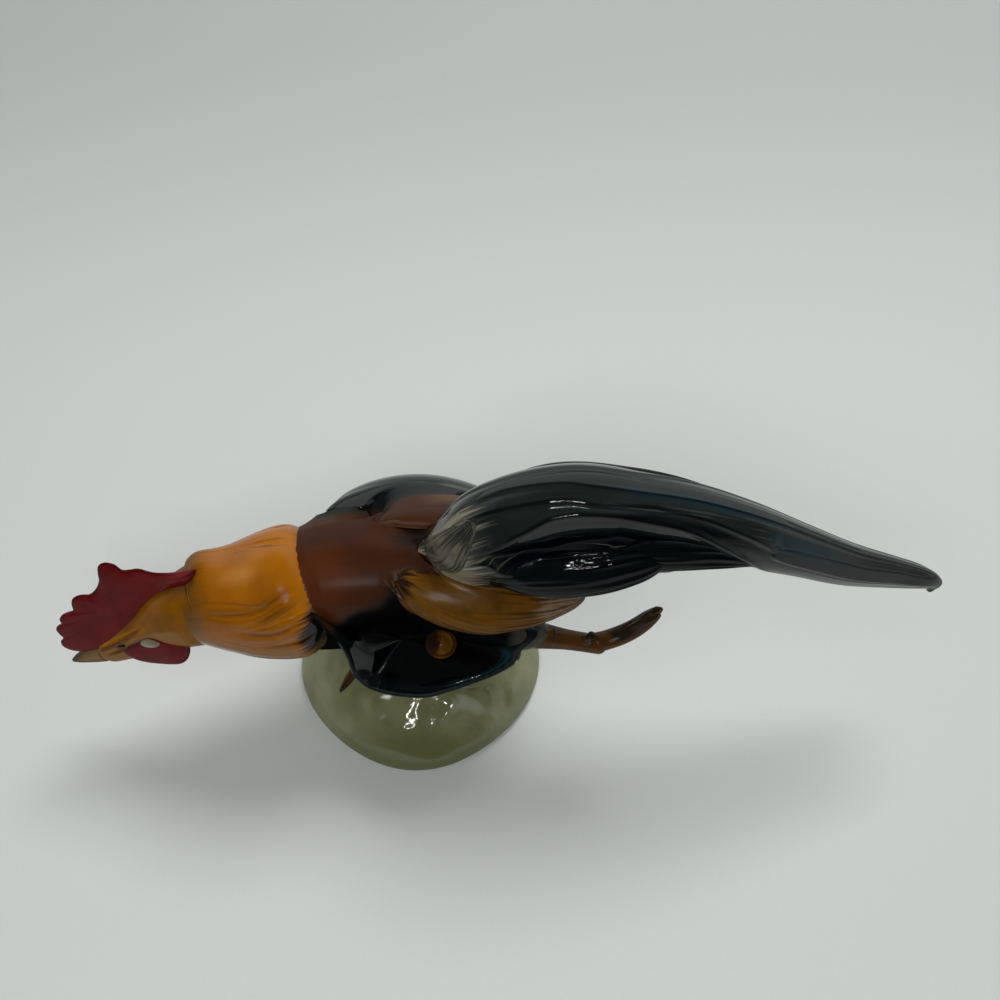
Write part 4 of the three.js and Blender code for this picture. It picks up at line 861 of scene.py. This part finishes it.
def cape():
    """The hackles lie over one another, the highest on top, with cut grooves between them and a hump at the
    nape's far side."""
    def relief(t, angle):
        lobes = np.max([leaf(t, angle, rows, rows[-1][0], rows[0][0], half, rise)
                        for rows, half, rise in HACKLES], axis=0)
        hump = 2.6 * bell(t - 0.77, 0.12) * bell(off(angle, 58), 30)
        barbs = 0.05 * grain(angle / 6, t * 4, 21) * window(t, 0, 0.8, 0.2)
        barbs = barbs * ramp(np.abs(off(angle, 98)), 22, 34)
        cuts = sum(bell(off(angle, course(rows, t)), 4) * window(t, start, end, 0.14)
                   for rows, start, end in GROOVES)
        return (lobes + hump + barbs - 0.4 * cuts) * window(t, 0.03, 0.99, 0.1)
    points, t, angle = neck_form.skin(230, 400, relief, [(body_form, 9), (head_form, 6)])
    side = off(angle, 165)
    wander = 0.02 * grain(angle / 16, 3 * t, 23) + 0.015 * grain(angle / 6, 8 * t, 24)
    marks = {
        "nape": 0.9 * ramp(t, 0.52, 0.86) * (1 - 0.6 * bell(side - 24, 24)),
        "breast": 0.9 * bell(side - 24, 20) * window(t, 0.1, 1.1, 0.2),
        "mantle_brown_and_shade": 1 - ramp(t + 1.6 * wander + 0.12 * bell(off(angle, 98), 36), 0.1, 0.24),
        "line": sum(0.8 * bell(off(angle, course(rows, t)), 2.6) * window(t, start, end, 0.2)
                    for rows, start, end in GROOVES),
        "tips": (1 - ramp(t + wander, 0.1, 0.26)) * bell(side, 26),
        # Painted reflection: a pale patch along the top of the neck
        "painted_reflection": 0.5 * bell(t - 0.46, 0.16) * bell(off(angle, 97), 12),
    }
    return settle(shell("hackle_cape", points, marks), "neck_hackle", AMBER)


cape()


def skull():
    """The head tapers to the beak, with a brow over each eye's socket. The golden stripe runs from the nape
    over the near cheek to the beak, and the flesh colour lies below it."""
    def relief(t, angle):
        brow = 0.7 * bell(off(angle, 142), 10) * window(t, 0.35, 0.95, 0.2)
        socket = -0.7 * bell(off(angle, 157), 8) * bell(t - 0.7, 0.12)
        far_brow = 0.7 * bell(off(angle, 38), 10) * window(t, 0.35, 0.95, 0.2)
        return (brow + socket + far_brow) * window(t, 0.02, 0.98, 0.1)
    points, t, angle = head_form.skin(170, 220, relief, [(neck_form, 6), (beak_form, 2)])
    stripe_edge = course([(0, 185), (0.1, 176), (0.22, 164), (0.4, 156), (0.56, 149), (0.68, 144),
                          (0.84, 137), (1, 125)], t)
    low = ramp(off(angle, stripe_edge), -1, 5) * (1 - ramp(off(angle, 300), -4, 4))
    far_low = ramp(off(angle, 0), -14, -8) * (1 - ramp(off(angle, 32), 0, 6)) * ramp(t, 0.2, 0.3)
    marks = {
        "nape": (1 - ramp(t, 0.05, 0.5)) * bell(off(angle, 92), 30),
        "gold": bell(off(angle, stripe_edge - 10), 9) * window(t, 0.3, 1, 0.2),
        "flesh": np.maximum(low * ramp(t, 0.16, 0.24), far_low),
        "cere": low * bell(off(angle, 165), 9) * bell(t - 0.6, 0.2) * 0.7,
    }
    return settle(shell("skull", points, marks), "head", FACE)


skull()


def bill():
    """Two mandibles: a soft groove runs round the beak where they meet."""
    def relief(t, angle):
        return -0.3 * (bell(off(angle, 205), 8) + bell(off(angle, 335), 8)) * window(t, 0, 0.85, 0.15)
    points, t, angle = beak_form.skin(90, 120, relief, [(head_form, 3)])
    marks = {"slate": 0.2 * ramp(t, 0.7, 1), "horn": 0.85 * (1 - ramp(t, 0.5, 1))}
    return settle(shell("bill", points, marks), "beak", TAN)


bill()


def wattle(side):
    """A lappet under the cheek: thin at the gape and full behind."""
    jaw = head_form.point(0.6, 218 if side < 0 else 322)
    form = Cast(
        root=jaw + [-0.33 * WATTLE_LENGTH, 0, 0.5 * WATTLE_DEPTH], length=WATTLE_LENGTH,
        sway=WATTLE_THICKNESS, lift=WATTLE_DEPTH, width=WATTLE_THICKNESS, depth=WATTLE_DEPTH,
        blunt=(0.2, 0.35),
        stations=[
            [0, 0, -0.4, 0.5, 0.3, side * 20], [0.35, side * 0.1, -0.28, 0.9, 0.75, side * 20],
            [0.7, side * 0.15, -0.02, 1.1, 1.08, side * 20], [1, side * 0.05, 0.22, 0.85, 0.84, side * 20],
        ])
    relief = lambda t, angle: 0.12 * grain(angle / 40, t * 3, 31) * window(t, 0.1, 0.9, 0.2)
    name = "left" if side < 0 else "right"
    return settle(shell(name + "_wattle_lobe", form.skin(90, 120, relief)[0]), name + "_wattle",
                  CRIMSON)


def earlobe(side):
    """A soft oval that lies along the cheek, its rear end lower."""
    on_cheek = lambda t, angle: head_form.point(t, angle if side < 0 else 180 - angle)
    rear = on_cheek(0.37, 183)
    along = on_cheek(0.53, 169) - rear
    form = Cast(
        root=rear, length=np.linalg.norm(along), width=EARLOBE_THICKNESS, depth=EARLOBE_DEPTH,
        along=unit(along), blunt=(0.5, 0.5),
        stations=[[0, 0, 0, 1, 0.8], [0.5, 0, 0, 1, 1], [1, 0, 0, 1, 0.8]])
    name = "left" if side < 0 else "right"
    return settle(shell(name + "_ear", form.skin(60, 80)[0]), name + "_earlobe", IVORY)


def eye(side):
    """A painted eye in low relief: a flat bead set into the cheek."""
    seat = head_form.point(0.71, 155 if side < 0 else 25)
    form = Cast(root=seat + [1.9, -side * 0.5, 0.2], length=3.8, width=1.4, depth=1.5,
                along=unit(np.array([-1, 0, -0.35])), blunt=(0.5, 0.5),
                stations=[[0, 0, 0, 1, 0.9], [0.5, 0, 0, 1, 1], [1, 0, 0, 1, 0.9]])
    name = "left" if side < 0 else "right"
    return settle(shell(name + "_eye", form.skin(40, 60)[0]), None, JET)


for side in (-1, 1):
    wattle(side)
    earlobe(side)
    eye(side)

# The comb's outline from the nape over its points to the beak and back along its root, as shares of the
# crown's run and of the comb's height
COMB_OUTLINE = [
    (-0.3, 0.03), (-0.1, 0.17), (0.04, 0.31), (0.1, 0.51), (0.16, 0.6), (0.2, 0.68), (0.195, 0.84),
    (0.23, 0.96), (0.29, 0.98), (0.345, 0.91), (0.41, 0.8), (0.5, 0.73), (0.59, 0.73), (0.65, 0.83),
    (0.71, 0.86), (0.765, 0.81), (0.82, 0.71), (0.87, 0.73), (0.92, 0.77), (0.98, 0.74), (1.01, 0.67),
    (1.06, 0.68), (1.1, 0.64), (1.125, 0.54), (1.14, 0.46), (1.19, 0.44), (1.225, 0.34), (1.21, 0.18),
    (1.14, 0.03), (1.0, -0.1), (0.7, -0.16), (0.35, -0.16), (0.05, -0.16),
]


def comb():
    """A blade inflated from its outline: from a middle point inside it, rings grow out to the outline on one
    side and back on the other. The half thickness is (1 - share^4)^0.5 of the full one, the blade flares
    where it meets the crown, and its rear end slides down the near side of the neck."""
    nape, brow = head_form.point(0.1, 90), head_form.point(0.94, 90)
    run = np.linalg.norm(brow - nape)
    along = (brow - nape) / run
    lean = head_form.point(0.5, 90) - through(head_form.path, np.array([0.5]))[0][0]
    high = unit(lean - (lean @ along) * along)
    across = np.cross(along, high)
    closed = np.array(COMB_OUTLINE + COMB_OUTLINE[:1])
    wrapped = np.vstack([closed[-2:-1], closed, closed[1:2]])
    steps = len(wrapped) - 1
    around = 1 / steps + np.linspace(0, 1, 400, endpoint=False) * (steps - 2) / steps
    outline = through(wrapped, around)[0] * [run, COMB_HEIGHT]
    middle = np.array([0.55 * run, 0.28 * COMB_HEIGHT])
    t = np.linspace(0, 1, 91)
    share = np.sin(np.pi * t)[:, None, None]
    flat = middle + (outline - middle)[None] * share
    low = 1 - ramp(flat[..., 1] / COMB_HEIGHT, -0.16, 0.25)
    full = COMB_THICKNESS / 2 * (1.1 - 0.3 * flat[..., 1] / COMB_HEIGHT + 0.9 * low)
    face = np.sign(0.5 - t)[:, None]
    half = full * np.sqrt(np.clip(1 - share[..., 0] ** 4, 0, 1)) * face
    rows = 0.15 * face * grain(flat[..., 0] / 6, flat[..., 1] / 7, 8) * (1 - share[..., 0] ** 4)
    slide = 4.5 * ramp(-flat[..., 0] / run, -0.15, 0.3)
    points = nape + flat[..., :1] * along + flat[..., 1:] * high + (half + rows - slide)[..., None] * across
    points[..., 2] -= 0.25 * slide
    return settle(shell("comb_blade", points), "comb", CRIMSON)


comb()


# Wings

# Rim of the dropped left wing, from the shoulder down the front, along the hanging edge, up the back and
# along the root, which is sunk in the trunk, as shares of the wing's length and width
LEFT_WING_RIM = [
    (0.027, -0.101, 0.178), (0.094, -0.171, 0.018), (0.139, -0.215, -0.183), (0.163, -0.255, -0.429),
    (0.176, -0.308, -0.663), (0.213, -0.375, -0.736), (0.265, -0.425, -0.799), (0.374, -0.508, -0.733),
    (0.515, -0.558, -0.649), (0.618, -0.525, -0.593), (0.719, -0.458, -0.573), (0.829, -0.375, -0.546),
    (0.916, -0.275, -0.513), (0.942, -0.191, -0.446), (0.953, 0.009, -0.249), (0.777, 0.092, 0.008),
    (0.487, 0.109, 0.141), (0.197, 0.175, 0.091),
]


def on_left_wing(rows):
    """Points over the left shoulder, given as shares of the wing's length, width and width."""
    return on_trunk(-0.55, -0.68, 0.55) + np.array(rows) * [WING_LENGTH, LEFT_WING_WIDTH, LEFT_WING_WIDTH]


def left_wing():
    """A dish inside a closed rim: rings grow from the dish's middle out to the rim and back behind it. The
    rim's own outline is reached only near the lip: further in, the rings follow its two slowest waves. The
    dish sinks as (1 - share^2.6) to a rounded lip, and a second ridge follows the lip inside along the
    hanging edge."""
    rim = on_left_wing(LEFT_WING_RIM)
    for form in (body_form, neck_form):
        gap, way = form.beyond(rim)
        root = np.isin(np.arange(len(rim)), (0, 15, 16, 17))
        rim = rim - (root * ramp(gap, -6, -1) * np.maximum(gap + 1.5, 0))[:, None] * way
    count = len(rim)
    wrapped = np.vstack([rim[-1:], rim, rim[:2]])
    places = np.linspace(0, 1, 400, endpoint=False)
    edge = through(wrapped, (1 + places * count) / (count + 2))[0]
    waves = np.fft.rfft(edge, axis=0)
    waves[3:] = 0
    smooth = np.fft.irfft(waves, len(edge), axis=0)
    middle = rim.mean(0)
    out = unit(np.array([0.05, -0.8, 0.6]))
    t = np.linspace(0, 1, 231)[:, None]
    share = np.sin(np.pi * t)
    front = t < 0.5
    knot = places[None, :] * count
    hanging = window(knot, 1.5, 14, 1.5)
    bowl = 1 - share**2.6
    lip = 0.45 * bell(share - 0.97, 0.03) * hanging
    edging = 0.5 * bell(share - 0.88, 0.035) * window(knot, 7.5, 13.5, 1.5)
    fold = 0.6 * bell(knot - 4.2, 0.9) * window(share, 0.5, 0.97, 0.3)
    back = LEFT_WING_THICKNESS * quarter_round((1 - share) / 0.1) + 5 * (1 - share)
    height = np.where(front, -LEFT_WING_DISH * bowl + lip + edging + fold,
                      -0.35 * LEFT_WING_DISH * bowl - back)
    sharp = ramp(share, 0.6, 1.0)[..., None]
    outline = smooth * (1 - sharp) + edge * sharp
    points = middle + (outline - middle) * share[..., None] + height[..., None] * out
    x, y, z = np.moveaxis(points, -1, 0)
    marks = {
        # Painted shade: the middle of the dish and of its underside laid darker navy
        "navy_painted_shade": 0.9 - 0.9 * ramp(share, 0.75, 0.92) + 0 * knot,
        "teal": window(share, 0.84, 0.96, 0.04) * window(knot, 8.6, 13.4, 1.0) * front,
        # Painted highlight: grey along the lip of the hanging edge
        "lip": 0.9 * ramp(share, 0.93, 0.975) * hanging,
        "brown": ramp(z + 0.35 * x, 55, 62) * window(x, -30, 20, 12) * (share < 0.97) * front,
    }
    return settle(shell("left_wing_dish", points, marks), "left_wing", RAVEN)


left_wing()


def wing_boss():
    """A coiled boss: a low dome with a shallow spiral groove, the cosine of the angle plus three turns along
    the form, kept to its upper part."""
    form = Cast(
        root=on_left_wing([0.581, -0.065, -0.536]), length=WING_BOSS_HEIGHT, width=WING_BOSS_DIAMETER,
        along=unit(np.array([0, -0.5, 0.87])), aside=X, up=Y, blunt=(0.1, 0.7),
        stations=[[0, 0, 0, 0.9, 0.9], [0.5, 0, 0, 1, 0.95], [1, 0, 0, 0.8, 0.75]])
    coil = lambda t, angle: 0.1 * np.cos(2 * np.pi * 3.0 * t + np.radians(angle)) * window(t, 0.4, 1.0, 0.25)
    points, t, angle = form.skin(110, 150, coil)
    marks = {
        # On the boss this dark brown is painted shade, laid broadly over the side towards the head
        "mantle_brown_and_shade": bell(off(angle, 175), 85),
        "dull": 0.6 + 0 * t,
        "fringe": 0.6 * bell(off(angle, 210), 18) * ramp(t, 0.5, 0.8),
    }
    return settle(shell("wing_boss", points, marks), "left_wing_boss", OCHRE)


wing_boss()


def right_wing():
    """A rounded shell: rows of coverts lap over each other, and long flight feathers run to the rear."""
    def relief(t, angle):
        rows = sum(lap(off(angle, course([(0, a), (0.5, a + 6), (1, a - 8)], t)), 0.45, 16, 6)
                   for a in (44, 6, -32))
        flights = 0.18 * np.cos(np.radians(9 * angle + 160 * t)) * window(t, 0.45, 1, 0.2)
        return (rows + flights) * window(t, 0.06, 0.96, 0.2) * ramp(-off(angle, 60), 0, 25)
    points, t, angle = right_wing_form.skin(180, 240, relief, [(body_form, 13), (right_saddle_form, 5)])
    x, y, z = np.moveaxis(points, -1, 0)
    marks = {
        # Painted sheen: lighter grey-green laid over the wing's upper face
        "moss_and_painted_sheen": 0.8 * bell(off(angle, 70), 36) * window(t, 0.05, 0.95, 0.2),
        "straw": 0.55 * bell(off(angle, 86), 9) * window(t, 0.5, 0.8, 0.12),
        "brown": 1 - ramp(y, 16, 21),
    }
    return settle(shell("right_wing_shell", points, marks), "right_wing", RAVEN)


right_wing()


def saddle(side):
    """A lappet of long feathers that turn as they run back and fray at the rear end: smooth grains of four
    widths, laid along a sweep of the angle."""
    form = left_saddle_form if side < 0 else right_saddle_form

    def relief(t, angle):
        sweep = angle + side * 40 * (t - 0.5)
        feathers = 0.2 * grain(sweep / 22, t * 2.2, 44) + 0.12 * grain(sweep / 9, t * 3, 45)
        barbs = 0.08 * grain(sweep / 9, t * 3, 41)
        fringe = (0.5 * grain(sweep / 9, t * 5, 46) + 0.2 * grain(sweep / 4, t * 9, 47)) * ramp(t, 0.6, 0.85)
        return (feathers + barbs + fringe) * window(t, 0.08, 1, 0.3)

    others = [(body_form, 5), (plume_form, 3)]
    if side > 0:
        others = [(body_form, 8), (plume_form, 3), (right_wing_form, 7)]
    points, t, angle = form.skin(200, 220, relief, others)
    if side < 0:
        marks = {"fringe": ramp(t + 0.04 * grain(angle / 9, 4 * t, 42), 0.62, 0.8),
                 "mantle_brown_and_shade": 1 - ramp(t + 0.05 * grain(angle / 12, 6 * t, 43), 0.03, 0.14)}
        return settle(shell("left_saddle_lappet", points, marks), "left_saddle_hackle", OCHRE)
    marks = {"tawny": 0.85 * bell(off(angle, 70), 24) * window(t, 0.15, 0.8, 0.25)}
    return settle(shell("right_saddle_lappet", points, marks), "right_saddle_hackle",
                  CHESTNUT)


saddle(-1)
saddle(1)


# Tail

# Edges of the long feathers along the plume's top, as rows of (t, angle), with their heights in mm
TOP_FEATHERS = [
    ([(0, 64), (0.134, 64), (0.2, 66), (0.27, 62), (0.344, 62), (0.456, 46), (0.6, 40), (1, 40)], 0.5),
    ([(0, 92), (0.134, 90), (0.2, 87), (0.27, 90), (0.314, 95), (0.45, 93), (0.57, 94), (0.7, 96),
      (1, 100)], 0.6),
    ([(0, 108), (0.147, 108), (0.212, 109), (0.274, 110), (0.304, 115), (0.376, 111), (0.406, 113),
      (0.476, 121), (0.56, 142), (0.62, 165), (1, 170)], 0.7),
]


def plume():
    """Long feathers lie side by side over the top, each lapping the next, and a raised border runs along the
    hollow in the near flank. The outermost feather ends in a small hook."""
    def relief(t, angle):
        top = course(HOLLOW_TOP, t)
        border = 0.7 * bell(off(angle, top - 2), 4) * window(t, 0.12, 0.62, 0.1)
        laps = sum(lap(off(angle, course(rows, t)), rise, 16, 4) for rows, rise in TOP_FEATHERS)
        far = sum(lap(-off(angle, line), 0.6, 16, 4) for line in (24, -8, -40))
        outer = 1 - bell(off(angle, top + 30), 30) * window(t, 0.1, 0.65, 0.1)
        barbs = (0.12 * grain(angle / 11, t * 2.5, 51) + 0.03 * grain(angle / 5, t * 5, 52)) * outer
        hook = 1.1 * bell(t - 0.972, 0.012) * bell(off(angle, 235), 34)
        return (border + laps + far + barbs) * window(t, 0.03, 0.97, 0.12) + hook
    luted = [(body_form, 7), (left_saddle_form, 3), (right_saddle_form, 4)]
    points, t, angle = plume_form.skin(380, 256, relief, luted)
    middle = (course(HOLLOW_TOP, t) + course(HOLLOW_FOOT, t)) / 2
    marks = {
        # Painted shade: the hollow in the near flank laid darker navy
        "navy_painted_shade": bell(off(angle, middle), 30) * window(t, 0.13, 0.6, 0.05),
        # Painted sheen: lighter grey-green laid over the tops of the feathers
        "moss_and_painted_sheen": 0.7 * bell(off(angle, 66), 34),
        "teal": 0.75 * bell(off(angle, 92), 8) * window(t, 0.26, 0.62, 0.1)
        + 0.6 * bell(off(angle, 130), 30) * window(t, 0.5, 0.74, 0.1),
        # Painted highlights: grey streaks along the ridge above the hollow and along the near flank towards
        # the tip
        "painted_highlight": 0.42 * bell(off(angle, 110), 5) * window(t, 0.2, 0.56, 0.12)
        + 0.55 * bell(off(angle, 175), 14) * window(t, 0.74, 0.9, 0.05),
        "straw": 0.9 * (1 - ramp(t, 0.05, 0.22)) * window(angle, 60, 220, 40),
        "dull": 0.8 * bell(off(angle, middle), 34) * window(t, 0.1, 0.62, 0.1),
        "jet": 0.9 * bell(off(angle, course(TOP_FEATHERS[2][0], t) + 12), 8) * window(t, 0.28, 0.6, 0.06),
    }
    return settle(shell("plume", points, marks), "tail_plume", PLUME)


plume()


def tail_feather(name, node, form, rings=130, across=140, shaft=0.08, material=RAVEN,
                 luted=()):
    """A leaf with a raised shaft along its middle, barbs running off it and pleats towards its tip."""
    def relief(t, angle):
        rib = shaft * (bell(off(angle, 90), 20) + bell(off(angle, 270), 20))
        barbs = 0.1 * grain(angle / 9 + 2 * t, t * 3, 61)
        pleats = 0.16 * np.cos(np.radians(11 * angle + 90 * t)) * window(t, 0.4, 1, 0.25)
        pleats = pleats * ramp(shaft, 0, 0.05)
        return (rib + barbs + pleats) * window(t, 0.05, 0.95, 0.2)
    points, t, angle = form.skin(rings, across, relief, luted)
    marks = {"raven": 0.1 + 0.5 * ramp(t, 0.3, 0.95), "dull": 0.5 + 0 * t}
    return settle(shell(name, points, marks), node, material)


for side, name in ((-1, "left"), (1, "right")):
    tail_feather(name + "_covert", name + "_tail_covert", covert_form(side), luted=[(plume_form, 3)])
    tail_feather(name + "_sickle", name + "_lesser_sickle", sickle_form(side), luted=[(plume_form, 2.5)])
tail_feather("far_sickle", "right_upper_sickle", upper_sickle_form, rings=180, luted=[(plume_form, 4)])
tail_feather("root_tuft", "tail_tuft", tuft_form, shaft=0.0, material=STRAW,
             luted=[(plume_form, 2)])


# Legs

def legs():
    """Drumsticks under short feathers, bare shanks, and the spur on the trailing one."""
    feathered = lambda t, angle: 0.15 * grain(angle / 20, t * 3, 71) * window(t, 0.05, 0.95, 0.2)
    settle(shell("standing_drumstick", standing_thigh_form.skin(
        120, 140, feathered, [(body_form, 8), (standing_shank_form, 3)])[0]),
        "right_thigh", CHESTNUT)
    points, t, angle = trailing_thigh_form.skin(160, 160, feathered,
                                                [(body_form, 7), (trailing_shank_form, 3)])
    marks = {
        "tan": 0.5 * ramp(t, 0.86, 1) * bell(off(angle, 250), 80),
        "raven": 1 - ramp(t, 0.62, 0.76),
        "dull": 1 - ramp(t, 0.7, 0.8),
    }
    settle(shell("trailing_drumstick", points, marks), "left_thigh", SLATE)
    toes = [(form, 3) for form in trailing_toe_forms]
    points, t, angle = trailing_shank_form.skin(140, 120, None,
                                                [(trailing_thigh_form, 3), (spur_form, 2)] + toes)
    slate = {"slate": (0.45 + 0.55 * bell(off(angle, 90), 60)) * (1 - ramp(t, 0.25, 0.6))}
    settle(shell("trailing_shank", points, slate), "left_shank", TAN)
    toes = [(form, 2) for form in standing_toe_forms]
    settle(shell("standing_shank", standing_shank_form.skin(
        140, 120, None, [(standing_thigh_form, 4)] + toes)[0]), "right_shank", TAN)
    points, t, angle = spur_form.skin(60, 80, None, [(trailing_shank_form, 2)])
    settle(shell("spur", points, {"slate": 0.8 * ramp(t, 0.4, 0.9)}), "left_spur", TAN)


legs()


def foot(name, node, toes, shank, reach, dark):
    """The toes of one foot. Each is its own shell, and the first one stands for the foot's CAD node."""
    for k, form in enumerate(toes):
        others = [(shank, reach)] + [(other, reach) for other in toes if other is not form]
        points, t, angle = form.skin(100, 90, None, others)
        marks = {"slate": dark(t, angle), "gold": bell(off(angle, 218), 50)}
        piece = shell(f"{name}_toe_{k + 1}", points, marks)
        settle(piece, node if k == 0 else None, TAN)


foot("standing", "right_foot", standing_toe_forms, standing_shank_form, 2,
     lambda t, angle: ramp(t, 0.75, 0.95) * 0.8)
foot("trailing", "left_foot", trailing_toe_forms, trailing_shank_form, 3,
     lambda t, angle: bell(off(angle, 92), 56) * ramp(t, 0.25, 0.5))


# Floor, light and camera

FLOOR_REACH = 3.0
RING_LAMPS, RING_RADIUS, RING_LAMP_SIZE, RING_LAMP_POWER = 16, 0.045, 0.005, 0.016
RING_CENTRE, RING_TARGET = (0.0, -0.215, 0.37), (0, 0, 0.05)
CAMERA_PLACE, CAMERA_TILT = (0.0263, -0.1301, 0.312), 32


def floor():
    """Pale paper with painted shade, a little darker towards the back where the light falls off, that runs
    out into the pale backdrop far away.
    """
    paper = bpy.data.materials.new("pale_paper")
    paper.use_nodes = True
    tree = paper.node_tree
    tree.nodes.clear()
    place = add(tree, "TexCoord").outputs["Object"]
    fibre = add(tree, "TexNoise", {"Vector": place, "Scale": 900.0, "Detail": 3.0}).outputs[0]
    near_tone = {0: fibre, 6: linear("#cfd3d0"), 7: linear("#d3d6d3")}
    tone = add(tree, "Mix", near_tone, data_type="RGBA").outputs[2]
    split = add(tree, "SeparateXYZ", {0: place})
    # Painted shade: the paper darkens towards the back, where the light falls off
    far = add(tree, "MapRange", {0: split.outputs["Y"], 1: 0.1, 2: 0.36, 3: 0.0, 4: 0.5},
              interpolation_type="SMOOTHSTEP").outputs[0]
    tone = add(tree, "Mix", {0: far, 6: tone, 7: linear("#a2a8a6")}, data_type="RGBA").outputs[2]
    surface = add(tree, "BsdfPrincipled", {"Base Color": tone, "Roughness": 0.8, "Specular IOR Level": 0.2})
    # The backdrop's tone is for camera rays only, so it lights nothing
    haze = add(tree, "Emission", {"Color": linear("#d0d4d2"), "Strength": 1.0})
    apart = add(tree, "VectorMath", {0: place}, operation="LENGTH").outputs["Value"]
    edge = add(tree, "MapRange", {0: apart, 1: 0.6, 2: 1.6, 3: 0.0, 4: 1.0},
               interpolation_type="SMOOTHSTEP").outputs[0]
    seen = add(tree, "LightPath").outputs["Is Camera Ray"]
    share = add(tree, "Math", {0: edge, 1: seen}, operation="MULTIPLY").outputs[0]
    both = add(tree, "MixShader", {0: share, 1: surface.outputs[0], 2: haze.outputs[0]})
    add(tree, "OutputMaterial", {0: both.outputs[0]})
    mesh = bpy.data.meshes.new("floor")
    r = FLOOR_REACH
    mesh.from_pydata([(-r, -r, 0), (r, -r, 0), (r, r, 0), (-r, r, 0)], [], [(0, 1, 2, 3)])
    mesh.materials.append(paper)
    sheet = bpy.data.objects.new("floor", mesh)
    bpy.context.scene.collection.objects.link(sheet)
    sheet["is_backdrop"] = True


def tent():
    """A light tent that is bright low down and behind, and dark overhead on the camera's side: its strength
    falls with the height of a direction, less 0.45 of its share towards +Y."""
    world = bpy.data.worlds.new("tent")
    world.use_nodes = True
    tree = world.node_tree
    tree.nodes.clear()
    way = add(tree, "TexCoord").outputs["Generated"]
    split = add(tree, "SeparateXYZ", {0: way})
    lean = add(tree, "Math", {0: split.outputs["Y"], 1: -0.45, 2: split.outputs["Z"]},
               operation="MULTIPLY_ADD")
    strength = add(tree, "MapRange", {0: lean.outputs[0], 1: 0.1, 2: 0.62, 3: 0.75, 4: 0.05},
                   interpolation_type="SMOOTHSTEP").outputs[0]
    back = add(tree, "Background", {"Color": linear("#eef1f0"), "Strength": strength})
    add(tree, "OutputWorld", {0: back.outputs[0]})
    bpy.context.scene.world = world


def lamp(name, place, target, size, power, mirrored=True):
    """A round lamp at a place, turned to its target. One that isn't mirrored lights the colours only, as
    through a diffuser, and leaves no patch on the glaze."""
    light = bpy.data.lights.new(name, "AREA")
    light.shape = "DISK"
    light.size = size
    light.energy = power
    holder = bpy.data.objects.new(name, light)
    bpy.context.scene.collection.objects.link(holder)
    holder.visible_glossy = mirrored
    holder.location = place
    way = np.array(target) - np.array(place)
    flat = math.hypot(way[0], way[1])
    holder.rotation_euler = (math.atan2(flat, -way[2]), 0, math.atan2(way[1], way[0]) - math.pi / 2)


def stage():
    """The floor, the tent, a ring of small lamps near the camera, whose dotted ring shows in the glaze, a key
    lamp from behind, a broad fill from the front, and the photo's camera."""
    floor()
    tent()
    for k in range(RING_LAMPS):
        turn = 2 * math.pi * k / RING_LAMPS
        beside, over = math.cos(turn), 0.7 * math.sin(turn)
        place = np.array(RING_CENTRE) + RING_RADIUS * np.array([beside, over, over])
        lamp(f"ring_lamp_{k}", place, RING_TARGET, RING_LAMP_SIZE, RING_LAMP_POWER)
    lamp("key", (0.3, 0.55, 1.1), (0, 0, 0), 0.5, 9.2, mirrored=False)
    lamp("fill", (-0.35, -0.7, 1.2), (0, 0, 0), 1.2, 5.3, mirrored=False)

    scene = bpy.context.scene
    camera = bpy.data.cameras.new("photo_camera")
    camera.lens, camera.sensor_width = 36, 36
    camera.clip_start, camera.clip_end = 0.01, 20
    holder = bpy.data.objects.new("photo_camera", camera)
    scene.collection.objects.link(holder)
    holder.location = CAMERA_PLACE
    holder.rotation_euler = (math.radians(CAMERA_TILT), 0, 0)
    scene.camera = holder
    scene.view_settings.view_transform = "Standard"


stage()

({"cad": [list(corner) for corner in cad_box],
           "visual": [list(corner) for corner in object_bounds()]})
